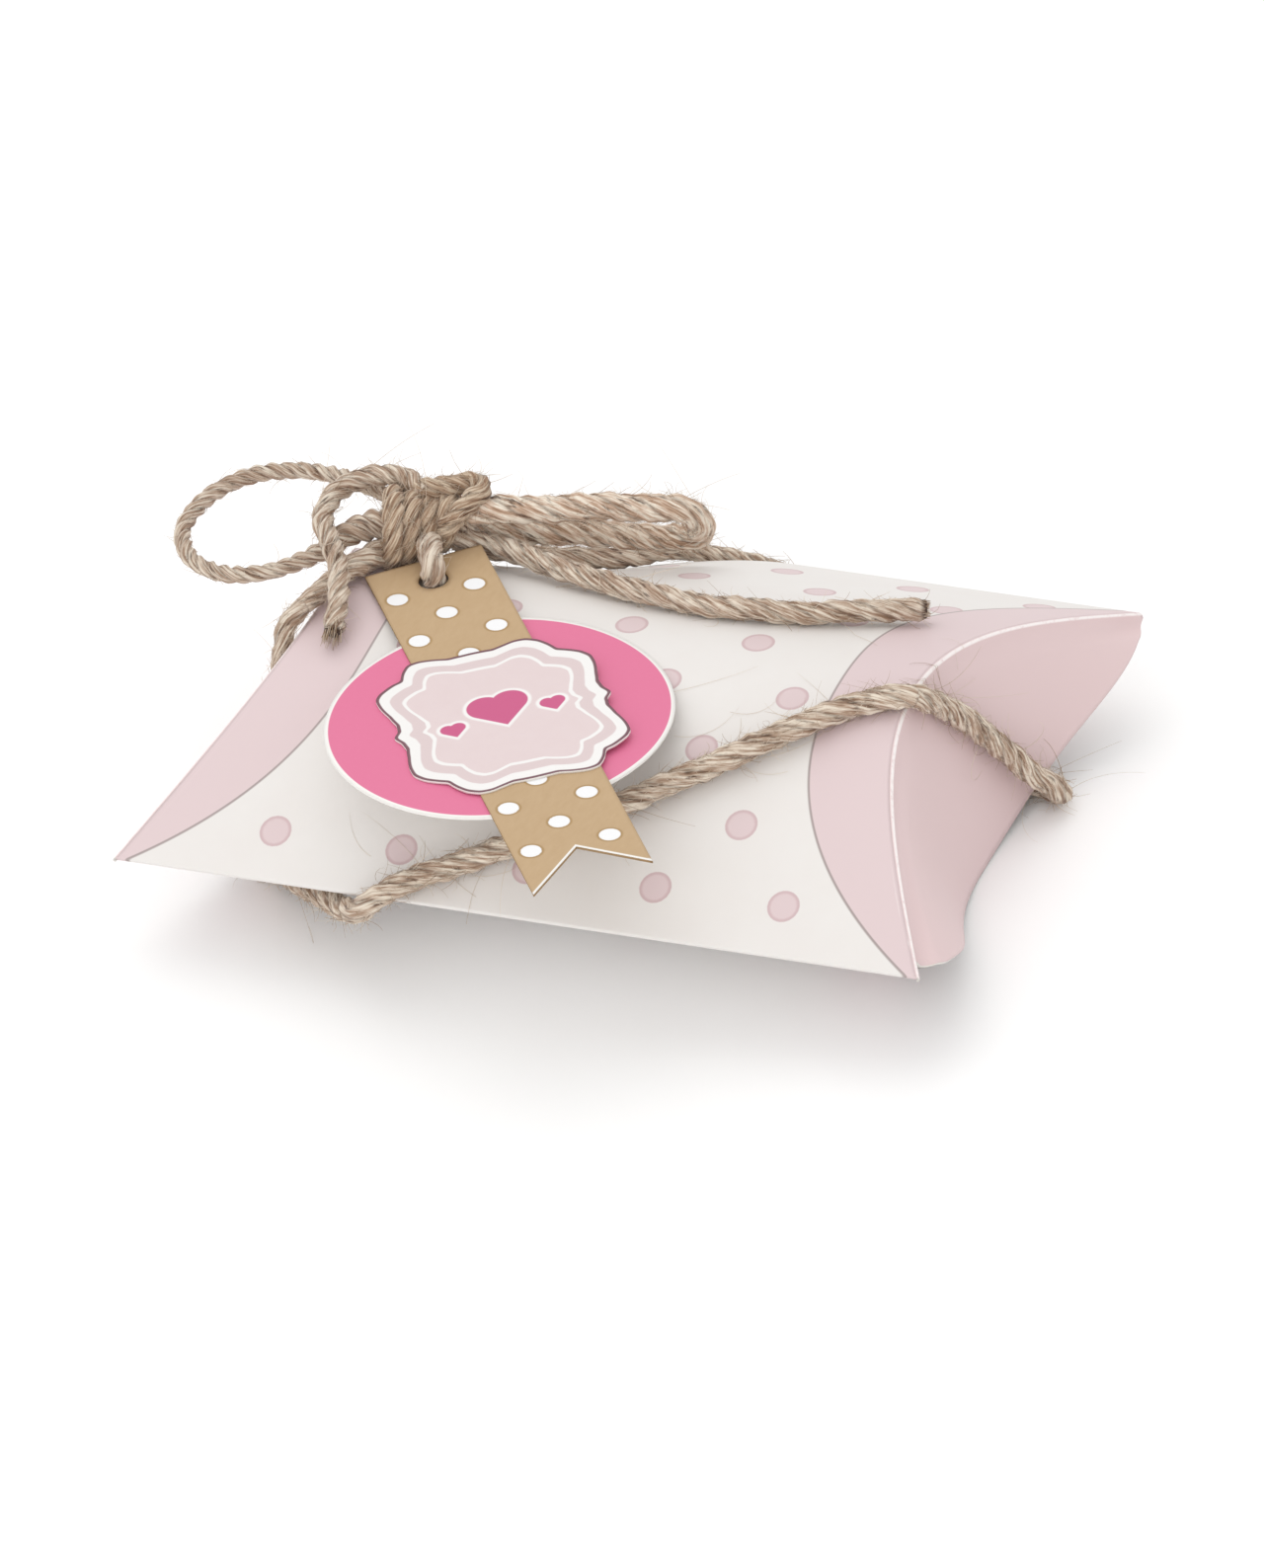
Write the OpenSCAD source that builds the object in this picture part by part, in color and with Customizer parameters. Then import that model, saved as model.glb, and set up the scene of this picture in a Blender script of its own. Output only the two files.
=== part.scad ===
// Pillow-shaped favour box in folded card, tied with twine, with a layered card tag.
// Millimetres. The belly rests on z = 0, +X runs along the box, +Y points to its back crease.

/* [Box] */
// Length between the two pairs of end tips
box_len = 125; // [105:1:150]
// Width between the two side creases
box_w = 88; // [74:1:104]
// Height over both bulged panels before the belly settles
box_h = 32; // [26:1:38]
// Thickness of the folded card
card = 0.5; // [0.4:0.05:0.7]
// How far the belly settles flat on a table
belly_settle = 0.5; // [0.3:0.1:0.9]
// Width of the glued seam tab inside the back crease
seam_w = 12; // [8:1:16]

/* [End flaps] */
// Gap between a folded flap and the card beside it
flap_gap = 0.3; // [0.2:0.05:0.5]
// How much of each flap's pointed ends is cut away
flap_tip_cut = 3; // [2:0.5:6]
// Height by which an outer flap stops short of the bottom fold
outer_short = 0.6; // [0.4:0.1:2]
// Height of an inner flap's straight edge below the side creases
inner_drop = 1.5; // [1:0.5:6]
// Angle by which the right outer flap leans out, a little ajar
right_ajar = 14; // [6:1:18]

/* [Tag] */
// Length of the swallow-tailed strip
strip_len = 86.5; // [70:0.5:100]
// Width of the strip
strip_w = 17.5; // [12:0.5:24]
// Depth of the swallow-tail notch
notch = 8.5; // [4:0.5:14]
// Thickness of each card layer
layer = 0.4; // [0.3:0.05:0.6]
// Diameter of the punched hole
hole_d = 4.4; // [3.8:0.1:6]
// Distance from the strip's tied end to the hole's centre
hole_inset = 4; // [3.5:0.5:8]
// Diameter of the round card
disc_d = 50; // [40:1:60]
// Distance from the strip's tied end to the round card's centre
disc_at = 41; // [32:0.5:48]
// Width of the lobed label
label_w = 39.4; // [30:0.2:46]

/* [Twine] */
// Diameter of the jute twine
twine_d = 3; // [2:0.1:3.4]

/* [Hidden] */
$fn = 96;
half_l = box_len / 2;
half_w = box_w / 2;
half_h = box_h / 2;
crease_z = half_h - belly_settle;
crown_z = crease_z + half_h;

// Panel profile: a crown arc met by straight flanks, as bent card runs out towards two creases
flank_fullness = 1.52;
flank_kink = 3;
function flank_angle(rise) = atan(2 * flank_fullness * rise / box_w);
function crown_r(rise) =
    let (flank = flank_angle(rise))
    let (shoulder = flank + flank_kink)
    (rise - half_w * tan(flank)) / (1 - cos(shoulder) - sin(shoulder) * tan(flank));
belly_half_w = sqrt(crown_r(half_h) ^ 2 - (crown_r(half_h) - belly_settle) ^ 2);

// Stations of the card layers at each end, measured inwards from the outer flap's face
outer_in = card;
inner_out = outer_in + flap_gap;
inner_in = inner_out + card;
fold_x = half_l - half_h;

// Tag placement: tied end, turn about +Z and rise along its length
tag_x = -34;
tag_y = 11;
tag_turn = -51;
tag_rise = 2.2;

// Lobes of the label over half a turn: direction, reach and radius, for a label one unit wide
label_lobes = [[0, 0.5, 0.115], [62, 0.45, 0.14], [98, 0.467, 0.15], [152, 0.533, 0.115]];
lobe_stand = 0.04;

// Knot of the bow, behind the tag's tied end
knot_x = -36;
knot_y = 18.5;
knot_rise = 2.5;
knot_z = crown_z + knot_rise;
knot_ring_r = 3;
knot_tube_r = 1.6;
knot_half_l = 3.6;

// Twine routes, hand chosen, with z counted from the plane of the side creases
twine_sides = 8;
wrap_route = [
    [-33.5, 20.5, 15.5], [-25.5, 29, 10.5], [-18, 38, 5.5], [-14, 42.8, 3], [-11.5, 45.2, 1.6],
    [-8, 46.2, 0], [-2, 46, -1.5], [5.5, 45, -2.9], [13, 41.5, -4.5], [24.5, 35, -8],
    [36.5, 28.5, -11], [44.5, 24, -13], [51, 20.5, -14], [56, 18.5, -14], [58.5, 16.5, -12.7],
    [57.7, 14.8, -9.5], [55.8, 13.2, -7], [53.8, 11, -2], [51.4, 7, 5], [49.5, 2.5, 11.5],
    [48.5, -1.5, 15.5], [47.5, -3.5, 17.5],
    [45.5, -4.5, 18], [41, -6.5, 17.5], [34, -12.5, 17], [27.5, -18, 15.5], [20, -23.5, 13.5],
    [13, -28, 11.5], [4, -33, 9], [-6, -38, 6], [-14, -42, 4], [-19.5, -45, 2],
    [-22, -46, 0], [-24.5, -45, -2], [-29, -41, -4.5], [-36, -35, -7.5], [-43, -28.5, -11],
    [-48, -23.5, -13.5], [-50.5, -21.5, -14], [-53, -20, -13], [-53, -17.5, -9], [-51, -14, -2],
    [-49.5, -10.5, 6], [-49, -8, 13], [-48.5, -6, 16.5], [-47, -3.5, 18], [-45.5, 1.5, 18],
    [-44, 6.5, 18], [-42, 11.5, 17], [-38.5, 16.5, 17]
];
left_loop_route = [
    [-38.5, 19.5, 20.5], [-46, 22, 20.5], [-53, 24.5, 20], [-60.5, 25, 19.5], [-67, 22.5, 19],
    [-71, 17, 18.5], [-72, 10.5, 17.5], [-68.5, 5, 17], [-62.5, 2.5, 17], [-56, 3.5, 17.5],
    [-50, 7.5, 18.5], [-45, 13, 20], [-38.5, 17.5, 19.5]
];
right_loop_route = [
    [-33.5, 19.5, 20.5], [-26, 21.5, 20.5], [-19, 24, 20], [-13, 26.5, 19.5], [-7, 29, 18.5],
    [-2.5, 31.5, 17], [-1, 34, 13.5], [-2.5, 35.5, 10], [-7, 35, 8.5], [-13, 32, 10.5],
    [-19, 28, 13], [-25.5, 24, 15], [-33.5, 20, 17.5]
];
left_tail_route = [
    [-37, 19.5, 23], [-41, 21.5, 24], [-46, 20.5, 24], [-49.5, 16.5, 23.5], [-49.5, 11.5, 22.5],
    [-46.5, 7, 22], [-43.5, 2.5, 21], [-41.5, -3, 19.5], [-40.5, -8, 17.5]
];
right_tail_route = [
    [-33.5, 18, 17], [-27, 19.5, 15.5], [-20, 17.5, 15.5], [-10, 14.5, 16], [-1, 12.5, 16.5],
    [8, 11.5, 16.5], [16, 12, 16.5], [24, 13.5, 16], [32, 16.5, 15.5], [40, 20, 14.5]
];
tie_route = [[-35, 15.5, 18], [-33.5, 12, 19.5], [-31.5, 8.5, 19], [-31.5, 8, 16.5]];

// Bar with half of the lens-shaped section, moved inwards by inset; x is across, y up from the creases
module dome(inset, length, rise = half_h) {
    flank = flank_angle(rise);
    r = crown_r(rise) - inset;
    foot = half_w - inset / sin(flank);
    top = r * sin(flank);
    top_rise = (foot - top) * tan(flank);
    linear_extrude(length) polygon([[-foot, 0], [-top, top_rise], [top, top_rise], [foot, 0]]);
    linear_extrude(length) intersection() {
        translate([0, rise - crown_r(rise)]) circle(r);
        translate([-box_w, 0]) square([2 * box_w, box_h]);
    }
}

// Bent sheet between two insets of the section
module sheet(outer, inner, length, rise = half_h) {
    difference() {
        dome(outer, length, rise);
        translate([0, 0, -1]) dome(inner, length + 2, rise);
    }
}

// Lays a bar of the given length along X, above the plane of the creases
module along_box(length) {
    translate([-length / 2, 0, crease_z]) rotate([90, 0, 90]) children();
}

// Depth of an end wall's section that meets the panel on the end fold, for a wall that leans out
function wall_rise(lean) = half_h * (cos(lean) - sin(lean));

// Stands a bar on its end at the right end of the box, bulging inwards and leaning out from the fold
module at_end(lean = 0) {
    translate([fold_x, 0, crown_z]) rotate([0, -lean, 0]) translate([wall_rise(lean), 0, -1.5 * box_h])
        rotate([0, 0, 90]) children();
}

// Solid that the two panels enclose, out to their outer faces, with its lower half moved up by lift
module lens(lift = 0) {
    along_box(2 * box_len) dome(0, 2 * box_len);
    translate([0, 0, 2 * crease_z + lift]) mirror([0, 0, 1]) along_box(2 * box_len) dome(0, 2 * box_len);
}

// Space beyond a wall that lies inset inwards of the right end
module beyond_end(inset) {
    at_end() dome(-inset, 2 * box_h);
    translate([half_l, -box_w, -half_h]) cube([box_len, 2 * box_w, 2 * box_h]);
}

module top_panel() {
    color("#EFEBE6") difference() {
        along_box(box_len) sheet(0, card, box_len);
        beyond_end(inner_out);
        mirror([1, 0, 0]) beyond_end(inner_out);
    }
}

module bottom_panel() {
    color("#EFEBE6") difference() {
        union() {
            intersection() {
                translate([0, 0, 2 * crease_z]) mirror([0, 0, 1]) along_box(box_len) sheet(0, card, box_len);
                translate([-half_l, -half_w, 0]) cube([box_len, box_w, box_h]);
            }
            translate([-half_l, -belly_half_w, 0]) cube([box_len, 2 * belly_half_w, card]);
        }
        beyond_end(inner_in + flap_gap);
        mirror([1, 0, 0]) beyond_end(inner_in + flap_gap);
    }
}

module seam_tab() {
    color("#E4DDD4") intersection() {
        along_box(2 * fold_x) sheet(card, 2 * card, 2 * fold_x);
        translate([-half_l, half_w - seam_w, 0]) cube([box_len, seam_w, box_h]);
    }
}

// End wall of card between two insets, trimmed to the lens and clear of its pointed ends
module end_wall(outer, inner, lean = 0) {
    intersection() {
        at_end(lean) sheet(-inner, -outer, 2 * box_h, wall_rise(lean));
        lens(box_h * (1 - cos(lean)));
        translate([0, flap_tip_cut - half_w, 0]) cube([box_len, box_w - 2 * flap_tip_cut, box_h]);
    }
}

module outer_flap(lean) {
    intersection() {
        end_wall(0, outer_in, lean);
        translate([0, -half_w, outer_short]) cube([box_len, box_w, box_h]);
    }
}

module inner_flap() {
    intersection() {
        end_wall(inner_out, inner_in);
        translate([0, -half_w, 0]) cube([box_len, box_w, crease_z - inner_drop]);
    }
}

module right_flap_outer() {
    color("#E0C3C2") outer_flap(right_ajar);
}

module right_flap_inner() {
    color("#D9BBBA") inner_flap();
}

module left_flap_outer() {
    color("#E0C3C2") mirror([1, 0, 0]) outer_flap(0);
}

module left_flap_inner() {
    color("#D9BBBA") mirror([1, 0, 0]) inner_flap();
}

// Moves a flat card layer to the tag's place, layers counted up from the lowest
module on_tag(level) {
    translate([tag_x, tag_y, crown_z]) rotate([0, 0, tag_turn]) rotate([0, -tag_rise, 0])
        translate([0, 0, level * layer]) children();
}

module tag_disc() {
    color("#EC7BA0") on_tag(0) translate([disc_at, 0]) cylinder(d = disc_d, h = layer);
}

module tag_strip() {
    color("#C4A06A") on_tag(1) linear_extrude(layer) difference() {
        polygon([
            [0, -strip_w / 2], [strip_len, -strip_w / 2], [strip_len - notch, 0],
            [strip_len, strip_w / 2], [0, strip_w / 2]
        ]);
        translate([hole_inset, 0]) circle(d = hole_d);
    }
}

// Label, square to the box: a straight-sided core with a round lobe at each corner
module tag_label() {
    core = [for (turn = [0, 180]) for (lobe = label_lobes)
        label_w * (lobe[1] - lobe_stand) * [cos(lobe[0] + turn), sin(lobe[0] + turn)]];
    color("#F6E4E4") on_tag(2) translate([disc_at, 0]) rotate(-tag_turn) {
        linear_extrude(layer) polygon(core);
        for (turn = [0, 180])
            for (lobe = label_lobes)
                rotate(lobe[0] + turn) translate([label_w * (lobe[1] - lobe[2]), 0, 0])
                    cylinder(r = label_w * lobe[2], h = layer);
    }
}

// Tube swept along a route, with its rings kept from twisting
function unit(v) = v / norm(v);
function heading(route, i) = unit(route[min(i + 1, len(route) - 1)] - route[max(i - 1, 0)]);
function square_to(v, axis) = unit(v - (v * axis) * axis);
function sides_of(route, i, last) =
    i == len(route) ? [] :
    let (side = square_to(last, heading(route, i)))
    concat([side], sides_of(route, i + 1, side));
function ring(centre, axis, side) =
    let (other = cross(axis, side))
    [for (k = [0 : twine_sides - 1])
        let (a = k * 360 / twine_sides)
        centre + twine_d / 2 * (cos(a) * side + sin(a) * other)];

module twine(route) {
    count = len(route);
    sides = sides_of(route, 0, [0.31, 0.17, 0.93]);
    points = [for (i = [0 : count - 1]) each ring(route[i], heading(route, i), sides[i])];
    skin = [for (i = [0 : count - 2]) for (k = [0 : twine_sides - 1])
        let (a = i * twine_sides + k)
        let (b = i * twine_sides + (k + 1) % twine_sides)
        each [[a, a + twine_sides, b], [b, a + twine_sides, b + twine_sides]]];
    first_cap = [for (k = [0 : twine_sides - 1]) k];
    last_cap = [for (k = [0 : twine_sides - 1]) count * twine_sides - 1 - k];
    color("#A98C6C") translate([0, 0, crease_z]) polyhedron(points, concat(skin, [first_cap, last_cap]));
}

module twine_wrap() {
    twine(wrap_route);
}

module twine_knot() {
    color("#A98C6C") translate([knot_x, knot_y, knot_z]) rotate([0, 90, 0]) {
        cylinder(r = knot_ring_r, h = 2 * knot_half_l, center = true);
        for (side = [-1, 1])
            translate([0, 0, side * knot_tube_r]) rotate_extrude()
                translate([knot_ring_r, 0]) circle(knot_tube_r);
    }
}

module bow_loop_left() {
    twine(left_loop_route);
}

module bow_loop_right() {
    twine(right_loop_route);
}

module twine_tail_left() {
    twine(left_tail_route);
}

module twine_tail_right() {
    twine(right_tail_route);
}

module tag_tie() {
    twine(tie_route);
}

top_panel();
bottom_panel();
seam_tab();
right_flap_outer();
right_flap_inner();
left_flap_outer();
left_flap_inner();
tag_disc();
tag_strip();
tag_label();
twine_wrap();
twine_knot();
bow_loop_left();
bow_loop_right();
twine_tail_left();
twine_tail_right();
tag_tie();
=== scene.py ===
"""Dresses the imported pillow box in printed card, a layered tag and hairy jute twine.

Every length in this file is in millimetres in the row frame, with z counted from the table, until a
mesh is made. The plane of the side creases lies at BoxForm.crease_z.
"""

import logging
import math
from dataclasses import dataclass, field
from enum import Enum

import bpy
import numpy as np
from mathutils import Matrix, Vector


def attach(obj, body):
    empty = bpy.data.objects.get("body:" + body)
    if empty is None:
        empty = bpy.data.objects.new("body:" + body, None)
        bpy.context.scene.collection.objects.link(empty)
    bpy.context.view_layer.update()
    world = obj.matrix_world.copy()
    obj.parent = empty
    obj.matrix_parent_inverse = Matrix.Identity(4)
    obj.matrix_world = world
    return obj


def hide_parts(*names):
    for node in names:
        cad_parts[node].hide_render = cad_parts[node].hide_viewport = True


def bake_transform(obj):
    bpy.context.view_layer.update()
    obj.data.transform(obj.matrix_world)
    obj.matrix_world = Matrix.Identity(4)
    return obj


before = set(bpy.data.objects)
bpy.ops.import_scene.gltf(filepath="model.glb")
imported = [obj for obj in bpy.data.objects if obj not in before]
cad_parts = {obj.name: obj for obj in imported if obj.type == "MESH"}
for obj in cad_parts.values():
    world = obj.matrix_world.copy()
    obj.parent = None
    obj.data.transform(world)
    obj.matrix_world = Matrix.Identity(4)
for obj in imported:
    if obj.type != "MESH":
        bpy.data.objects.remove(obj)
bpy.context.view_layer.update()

MM = 0.001
SEED = 20260211
# Added to the seed, so that fibres and stray fibres don't repeat the twine's draws
FIBRE_SEED = 100
STRAY_SEED = 500
# Printed edges are drawn from the distance to them, and this far lies outside all of them
FAR = 9.0
# Weight of each finer octave of a noise
GRAIN_ROUGHNESS = 0.6
LOG = logging.getLogger("pillow_box")

Array = np.ndarray
Rng = np.random.Generator
Material = bpy.types.Material
Piece = bpy.types.Object
Socket = bpy.types.NodeSocket
Tree = bpy.types.NodeTree
Span = tuple[float, float]
Point = tuple[float, float, float]
Route = list[Point]
Faces = list[tuple[int, ...]]
Bend = tuple[Vector | Point, Vector | Point]


class Side(Enum):
    """End of the box, with the sign of its X direction."""

    RIGHT = 1
    LEFT = -1

    @property
    def label(self) -> str:
        """Name of the end in piece and body names."""
        return self.name.lower()


class Layer(Enum):
    """Half of the box, with the sign of its Z direction."""

    TOP = 1
    BOTTOM = -1

    @property
    def panel(self) -> str:
        """Name of the half's panel in piece and node names."""
        return self.name.lower()

    @property
    def flap(self) -> str:
        """Name of the half's end flaps in piece, node and body names."""
        return "outer" if self is Layer.TOP else "inner"


class Twist(Enum):
    """How tightly a length of twine is laid: millimetres in one turn, and how far its plies stand out."""

    TIGHT = (7.0, 0.6)
    EASY = (9.0, 0.52)
    SLACK = (15.0, 0.4)

    @property
    def pitch(self) -> float:
        """Length of one full turn of the plies."""
        return self.value[0]

    @property
    def ply_offset(self) -> float:
        """Distance of a ply's middle from the twine's middle."""
        return self.value[1]


def srgb(code: str) -> tuple[float, float, float, float]:
    """Turn an sRGB hex colour into linear RGBA.

    Args:
        code: Six hex digits after a hash.

    Returns:
        Linear red, green and blue with alpha 1.
    """
    parts = [int(code[i:i + 2], 16) / 255 for i in (1, 3, 5)]
    linear = [c / 12.92 if c <= 0.04045 else ((c + 0.055) / 1.055) ** 2.4 for c in parts]
    return (linear[0], linear[1], linear[2], 1.0)


def add_node(tree: Tree, kind: str, inputs: dict | None = None, **settings: object) -> bpy.types.Node:
    """Add a shader node, set it up and link it.

    Args:
        tree: Node tree that gets the node.
        kind: Blender's type name of the node.
        inputs: Socket name or number to a constant, or to the output socket to link.
        **settings: Properties of the node itself.

    Returns:
        The new node.
    """
    node = tree.nodes.new(kind)
    for key, value in settings.items():
        setattr(node, key, value)
    for key, value in (inputs or {}).items():
        if isinstance(value, Socket):
            tree.links.new(value, node.inputs[key])
        else:
            node.inputs[key].default_value = value
    return node


def start_material(name: str) -> tuple[Material, Tree]:
    """Start an empty node material.

    Args:
        name: Name of the material.

    Returns:
        The material and its tree.
    """
    material = bpy.data.materials.new(name)
    material.use_nodes = True
    material.node_tree.nodes.clear()
    return material, material.node_tree


@dataclass(frozen=True)
class Surface:
    """How a finish takes light: roughness, specular level, strength and depth of fine relief, and sheen."""

    roughness: float
    specular: float
    relief: float = 0.0
    depth: float = 0.05
    sheen: float = 0.0


def end_material(tree: Tree, colour: Socket, surface: Surface, height: Socket | None = None) -> None:
    """Add the surface shader and the output to a material.

    Args:
        tree: Node tree of the material.
        colour: Base colour.
        surface: How the surface takes light.
        height: Fine relief, if any.
    """
    inputs = {
        "Base Color": colour, "Roughness": surface.roughness,
        "Specular IOR Level": surface.specular, "Sheen Weight": surface.sheen,
    }
    if height is not None:
        relief = {"Height": height, "Strength": surface.relief, "Distance": surface.depth * MM}
        inputs["Normal"] = add_node(tree, "ShaderNodeBump", relief).outputs["Normal"]
    shader = add_node(tree, "ShaderNodeBsdfPrincipled", inputs)
    add_node(tree, "ShaderNodeOutputMaterial", {"Surface": shader.outputs["BSDF"]})


def mask(
    tree: Tree, source: Socket | str, ramp: Span, most: Socket | float = 1.0, least: float = 0.0,
    soft: bool = True,
) -> Socket:
    """Turn a noise or a mesh attribute into a mask.

    Args:
        tree: Node tree to build in.
        source: Socket of the noise, or name of the float attribute.
        ramp: Values at which the mask has its least and its most.
        most: Greatest value, which may be another mask to multiply by.
        least: Smallest value.
        soft: Whether the ramp has level ends.

    Returns:
        The mask's socket.
    """
    if isinstance(source, str):
        source = add_node(tree, "ShaderNodeAttribute", attribute_name=source).outputs["Fac"]
    node = add_node(
        tree, "ShaderNodeMapRange",
        {"Value": source, "From Min": ramp[0], "From Max": ramp[1], "To Min": least, "To Max": most},
        interpolation_type="SMOOTHSTEP" if soft else "LINEAR",
    )
    return node.outputs["Result"]


def edge(place: float, soft: float) -> Span:
    """Ramp that is full up to a distance and blurred round it."""
    return (place + soft, place - soft)


def stack_colours(tree: Tree, ground: str, *layers: tuple[str, Socket]) -> Socket:
    """Lay colours over a ground, each through its mask.

    Args:
        tree: Node tree to build in.
        ground: sRGB hex colour of the ground.
        *layers: sRGB hex colour and mask of each layer, lowest first.

    Returns:
        The mixed colour's socket.
    """
    colour = srgb(ground)
    for code, share in layers:
        mix = add_node(tree, "ShaderNodeMix", {0: share, 6: colour, 7: srgb(code)}, data_type="RGBA")
        colour = mix.outputs[2]
    return colour


def grain(tree: Tree, size: float, detail: float, stretch: Point = (1, 1, 1)) -> Socket:
    """Noise of a given real grain size in the object's own space.

    Args:
        tree: Node tree to build in.
        size: Grain size.
        detail: Octaves of finer grain.
        stretch: Factor on each axis; below 1 draws the grain out along it.

    Returns:
        The noise value's socket.
    """
    coords = add_node(tree, "ShaderNodeTexCoord")
    mapped = add_node(tree, "ShaderNodeMapping", {"Vector": coords.outputs["Object"], "Scale": stretch})
    noise = add_node(
        tree, "ShaderNodeTexNoise",
        {"Vector": mapped.outputs["Vector"], "Scale": 1 / (size * MM), "Detail": detail,
         "Roughness": GRAIN_ROUGHNESS},
    )
    return noise.outputs["Fac"]


@dataclass(frozen=True)
class BoardFinish:
    """Offset-printed folding boxboard, matt varnished.

    The coating gives a smooth, faintly mottled white; ink sits flat on it, and at folds the ink cracks
    and shows white fibres. The same light line is also a painted highlight along the fold edges and the
    score ridge. The spans are distances from the printed edges and folds.
    """

    name: str
    paper: str = "#E4E1DE"
    paper_shade: str = "#E0DBD7"
    dots: str = "#D7C4C5"
    dot_rim: str = "#CAB1B3"
    crescent: str = "#D8C5C6"
    line: str = "#A59896"
    crack_and_highlight: str = "#F3ECEA"
    mottle_size: float = 9.0
    dot_edge: Span = (0.14, -0.14)
    rim_inside: Span = (-0.55, -0.1)
    rim_outside: Span = (0.2, 0.0)
    crescent_edge: Span = (-0.08, 0.08)
    line_outside: Span = (-0.4, -0.12)
    line_inside: Span = (0.15, 0.0)
    crack_and_highlight_edge: Span = (0.45, 0.12)
    flake_size: float = 0.8
    flake_ramp: Span = (0.3, 0.5)
    flake_least: float = 0.45
    fibre_size: float = 0.5
    surface: Surface = Surface(0.5, 0.35, 0.12)

    def build(self) -> Material:
        """Build the printed board's material.

        Returns:
            The material.
        """
        material, tree = start_material(self.name)
        flakes = grain(tree, self.flake_size, 4)
        flakes = mask(tree, flakes, self.flake_ramp, least=self.flake_least, soft=False)
        rim = mask(tree, "dot_gap", self.rim_inside, mask(tree, "dot_gap", self.rim_outside))
        line = mask(tree, "crescent", self.line_outside, mask(tree, "crescent", self.line_inside))
        colour = stack_colours(
            tree, self.paper,
            (self.paper_shade, grain(tree, self.mottle_size, 3)),
            (self.dots, mask(tree, "dot_gap", self.dot_edge)),
            (self.dot_rim, rim),
            (self.crescent, mask(tree, "crescent", self.crescent_edge)),
            (self.line, line),
            # cracked ink at folds and creases, drawn also as a painted highlight of the fold edges and the
            # score ridge
            (self.crack_and_highlight, mask(tree, "fold_gap", self.crack_and_highlight_edge, flakes)),
        )
        end_material(tree, colour, self.surface, grain(tree, self.fibre_size, 4))
        return material


@dataclass(frozen=True)
class PlainBoardFinish:
    """Uncoated board: the inside of the box and every cut edge, with grey-white felted fibres."""

    name: str
    pale: str = "#E9E6E2"
    dark: str = "#D5CFC7"
    fibre_size: float = 0.6
    fibre_stretch: Point = (0.35, 1, 1)
    surface: Surface = Surface(0.85, 0.2, 0.25, 0.06)

    def build(self) -> Material:
        """Build the uncoated board's material.

        Returns:
            The material.
        """
        material, tree = start_material(self.name)
        fibres = grain(tree, self.fibre_size, 5, self.fibre_stretch)
        colour = stack_colours(tree, self.pale, (self.dark, fibres))
        end_material(tree, colour, self.surface, fibres)
        return material


@dataclass(frozen=True)
class TagFinish:
    """Printed tag card: a ground, spots with a darker rim and a margin along the cut edge.

    The float attributes are "ink_gap", negative inside a spot, and "edge_gap", the distance to the cut
    edge.
    """

    name: str
    ground: str
    ground_dark: str
    margin_width: float
    grain_size: float = 0.7
    grain_stretch: Point = (1, 1, 1)
    surface: Surface = Surface(0.5, 0.35, 0.12)
    spot: str = "#EFEFF0"
    spot_rim: str = "#A98A5F"
    margin: str = "#F0EEEA"
    spot_edge: float = 0.1
    rim_edge: Span = (0.5, 0.19)
    margin_edge: float = 0.08

    def build(self) -> Material:
        """Build the printed tag card's material.

        Returns:
            The material.
        """
        material, tree = start_material(self.name)
        speck = grain(tree, self.grain_size, 5, self.grain_stretch)
        colour = stack_colours(
            tree, self.ground,
            (self.ground_dark, speck),
            (self.spot_rim, mask(tree, "ink_gap", self.rim_edge)),
            (self.spot, mask(tree, "ink_gap", edge(0.0, self.spot_edge))),
            (self.margin, mask(tree, "edge_gap", edge(self.margin_width, self.margin_edge))),
        )
        end_material(tree, colour, self.surface, speck)
        return material


@dataclass(frozen=True)
class LabelFinish:
    """Die-cut label card: white border inside a dark printed outline, drawn wide enough to be also the
    painted shadow round the raised label's edge, pale field, fine white line, motif.

    The attributes "edge_gap" and "motif_gap" are distances from the cut edge and from the motif.
    """

    name: str
    white: str = "#ECEAE8"
    keyline_and_shadow: str = "#76525A"
    band: str = "#D7C6C6"
    pale_field: str = "#DECECE"
    field_shade: str = "#DAC8C8"
    motif: str = "#C65884"
    keyline_and_shadow_width: float = 0.5
    border_width: float = 2.15
    border_edge: float = 0.15
    line_at: float = 4.4
    line_outside: Span = (3.95, 4.2)
    line_inside: Span = (4.85, 4.6)
    halo_edge: Span = (0.75, 0.3)
    motif_edge: float = 0.12
    ink_edge: float = 0.1
    speck_size: float = 2.5
    fibre_size: float = 0.6
    surface: Surface = Surface(0.5, 0.35, 0.1)

    def build(self) -> Material:
        """Build the label's material.

        Returns:
            The material.
        """
        material, tree = start_material(self.name)
        line = mask(tree, "edge_gap", self.line_outside, mask(tree, "edge_gap", self.line_inside))
        colour = stack_colours(
            tree, self.pale_field,
            (self.field_shade, grain(tree, self.speck_size, 3)),
            (self.band, mask(tree, "edge_gap", edge(self.line_at, self.ink_edge))),
            (self.white, mask(tree, "edge_gap", edge(self.border_width, self.border_edge))),
            (self.white, line),
            (self.white, mask(tree, "motif_gap", self.halo_edge)),
            (self.motif, mask(tree, "motif_gap", edge(0.0, self.motif_edge))),
            # outermost rim: printed dark outline, widened to serve also as painted shadow of the raised
            # label's edge
            (self.keyline_and_shadow, mask(tree, "edge_gap", edge(self.keyline_and_shadow_width, self.ink_edge))),
        )
        end_material(tree, colour, self.surface, grain(tree, self.fibre_size, 4))
        return material


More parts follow.
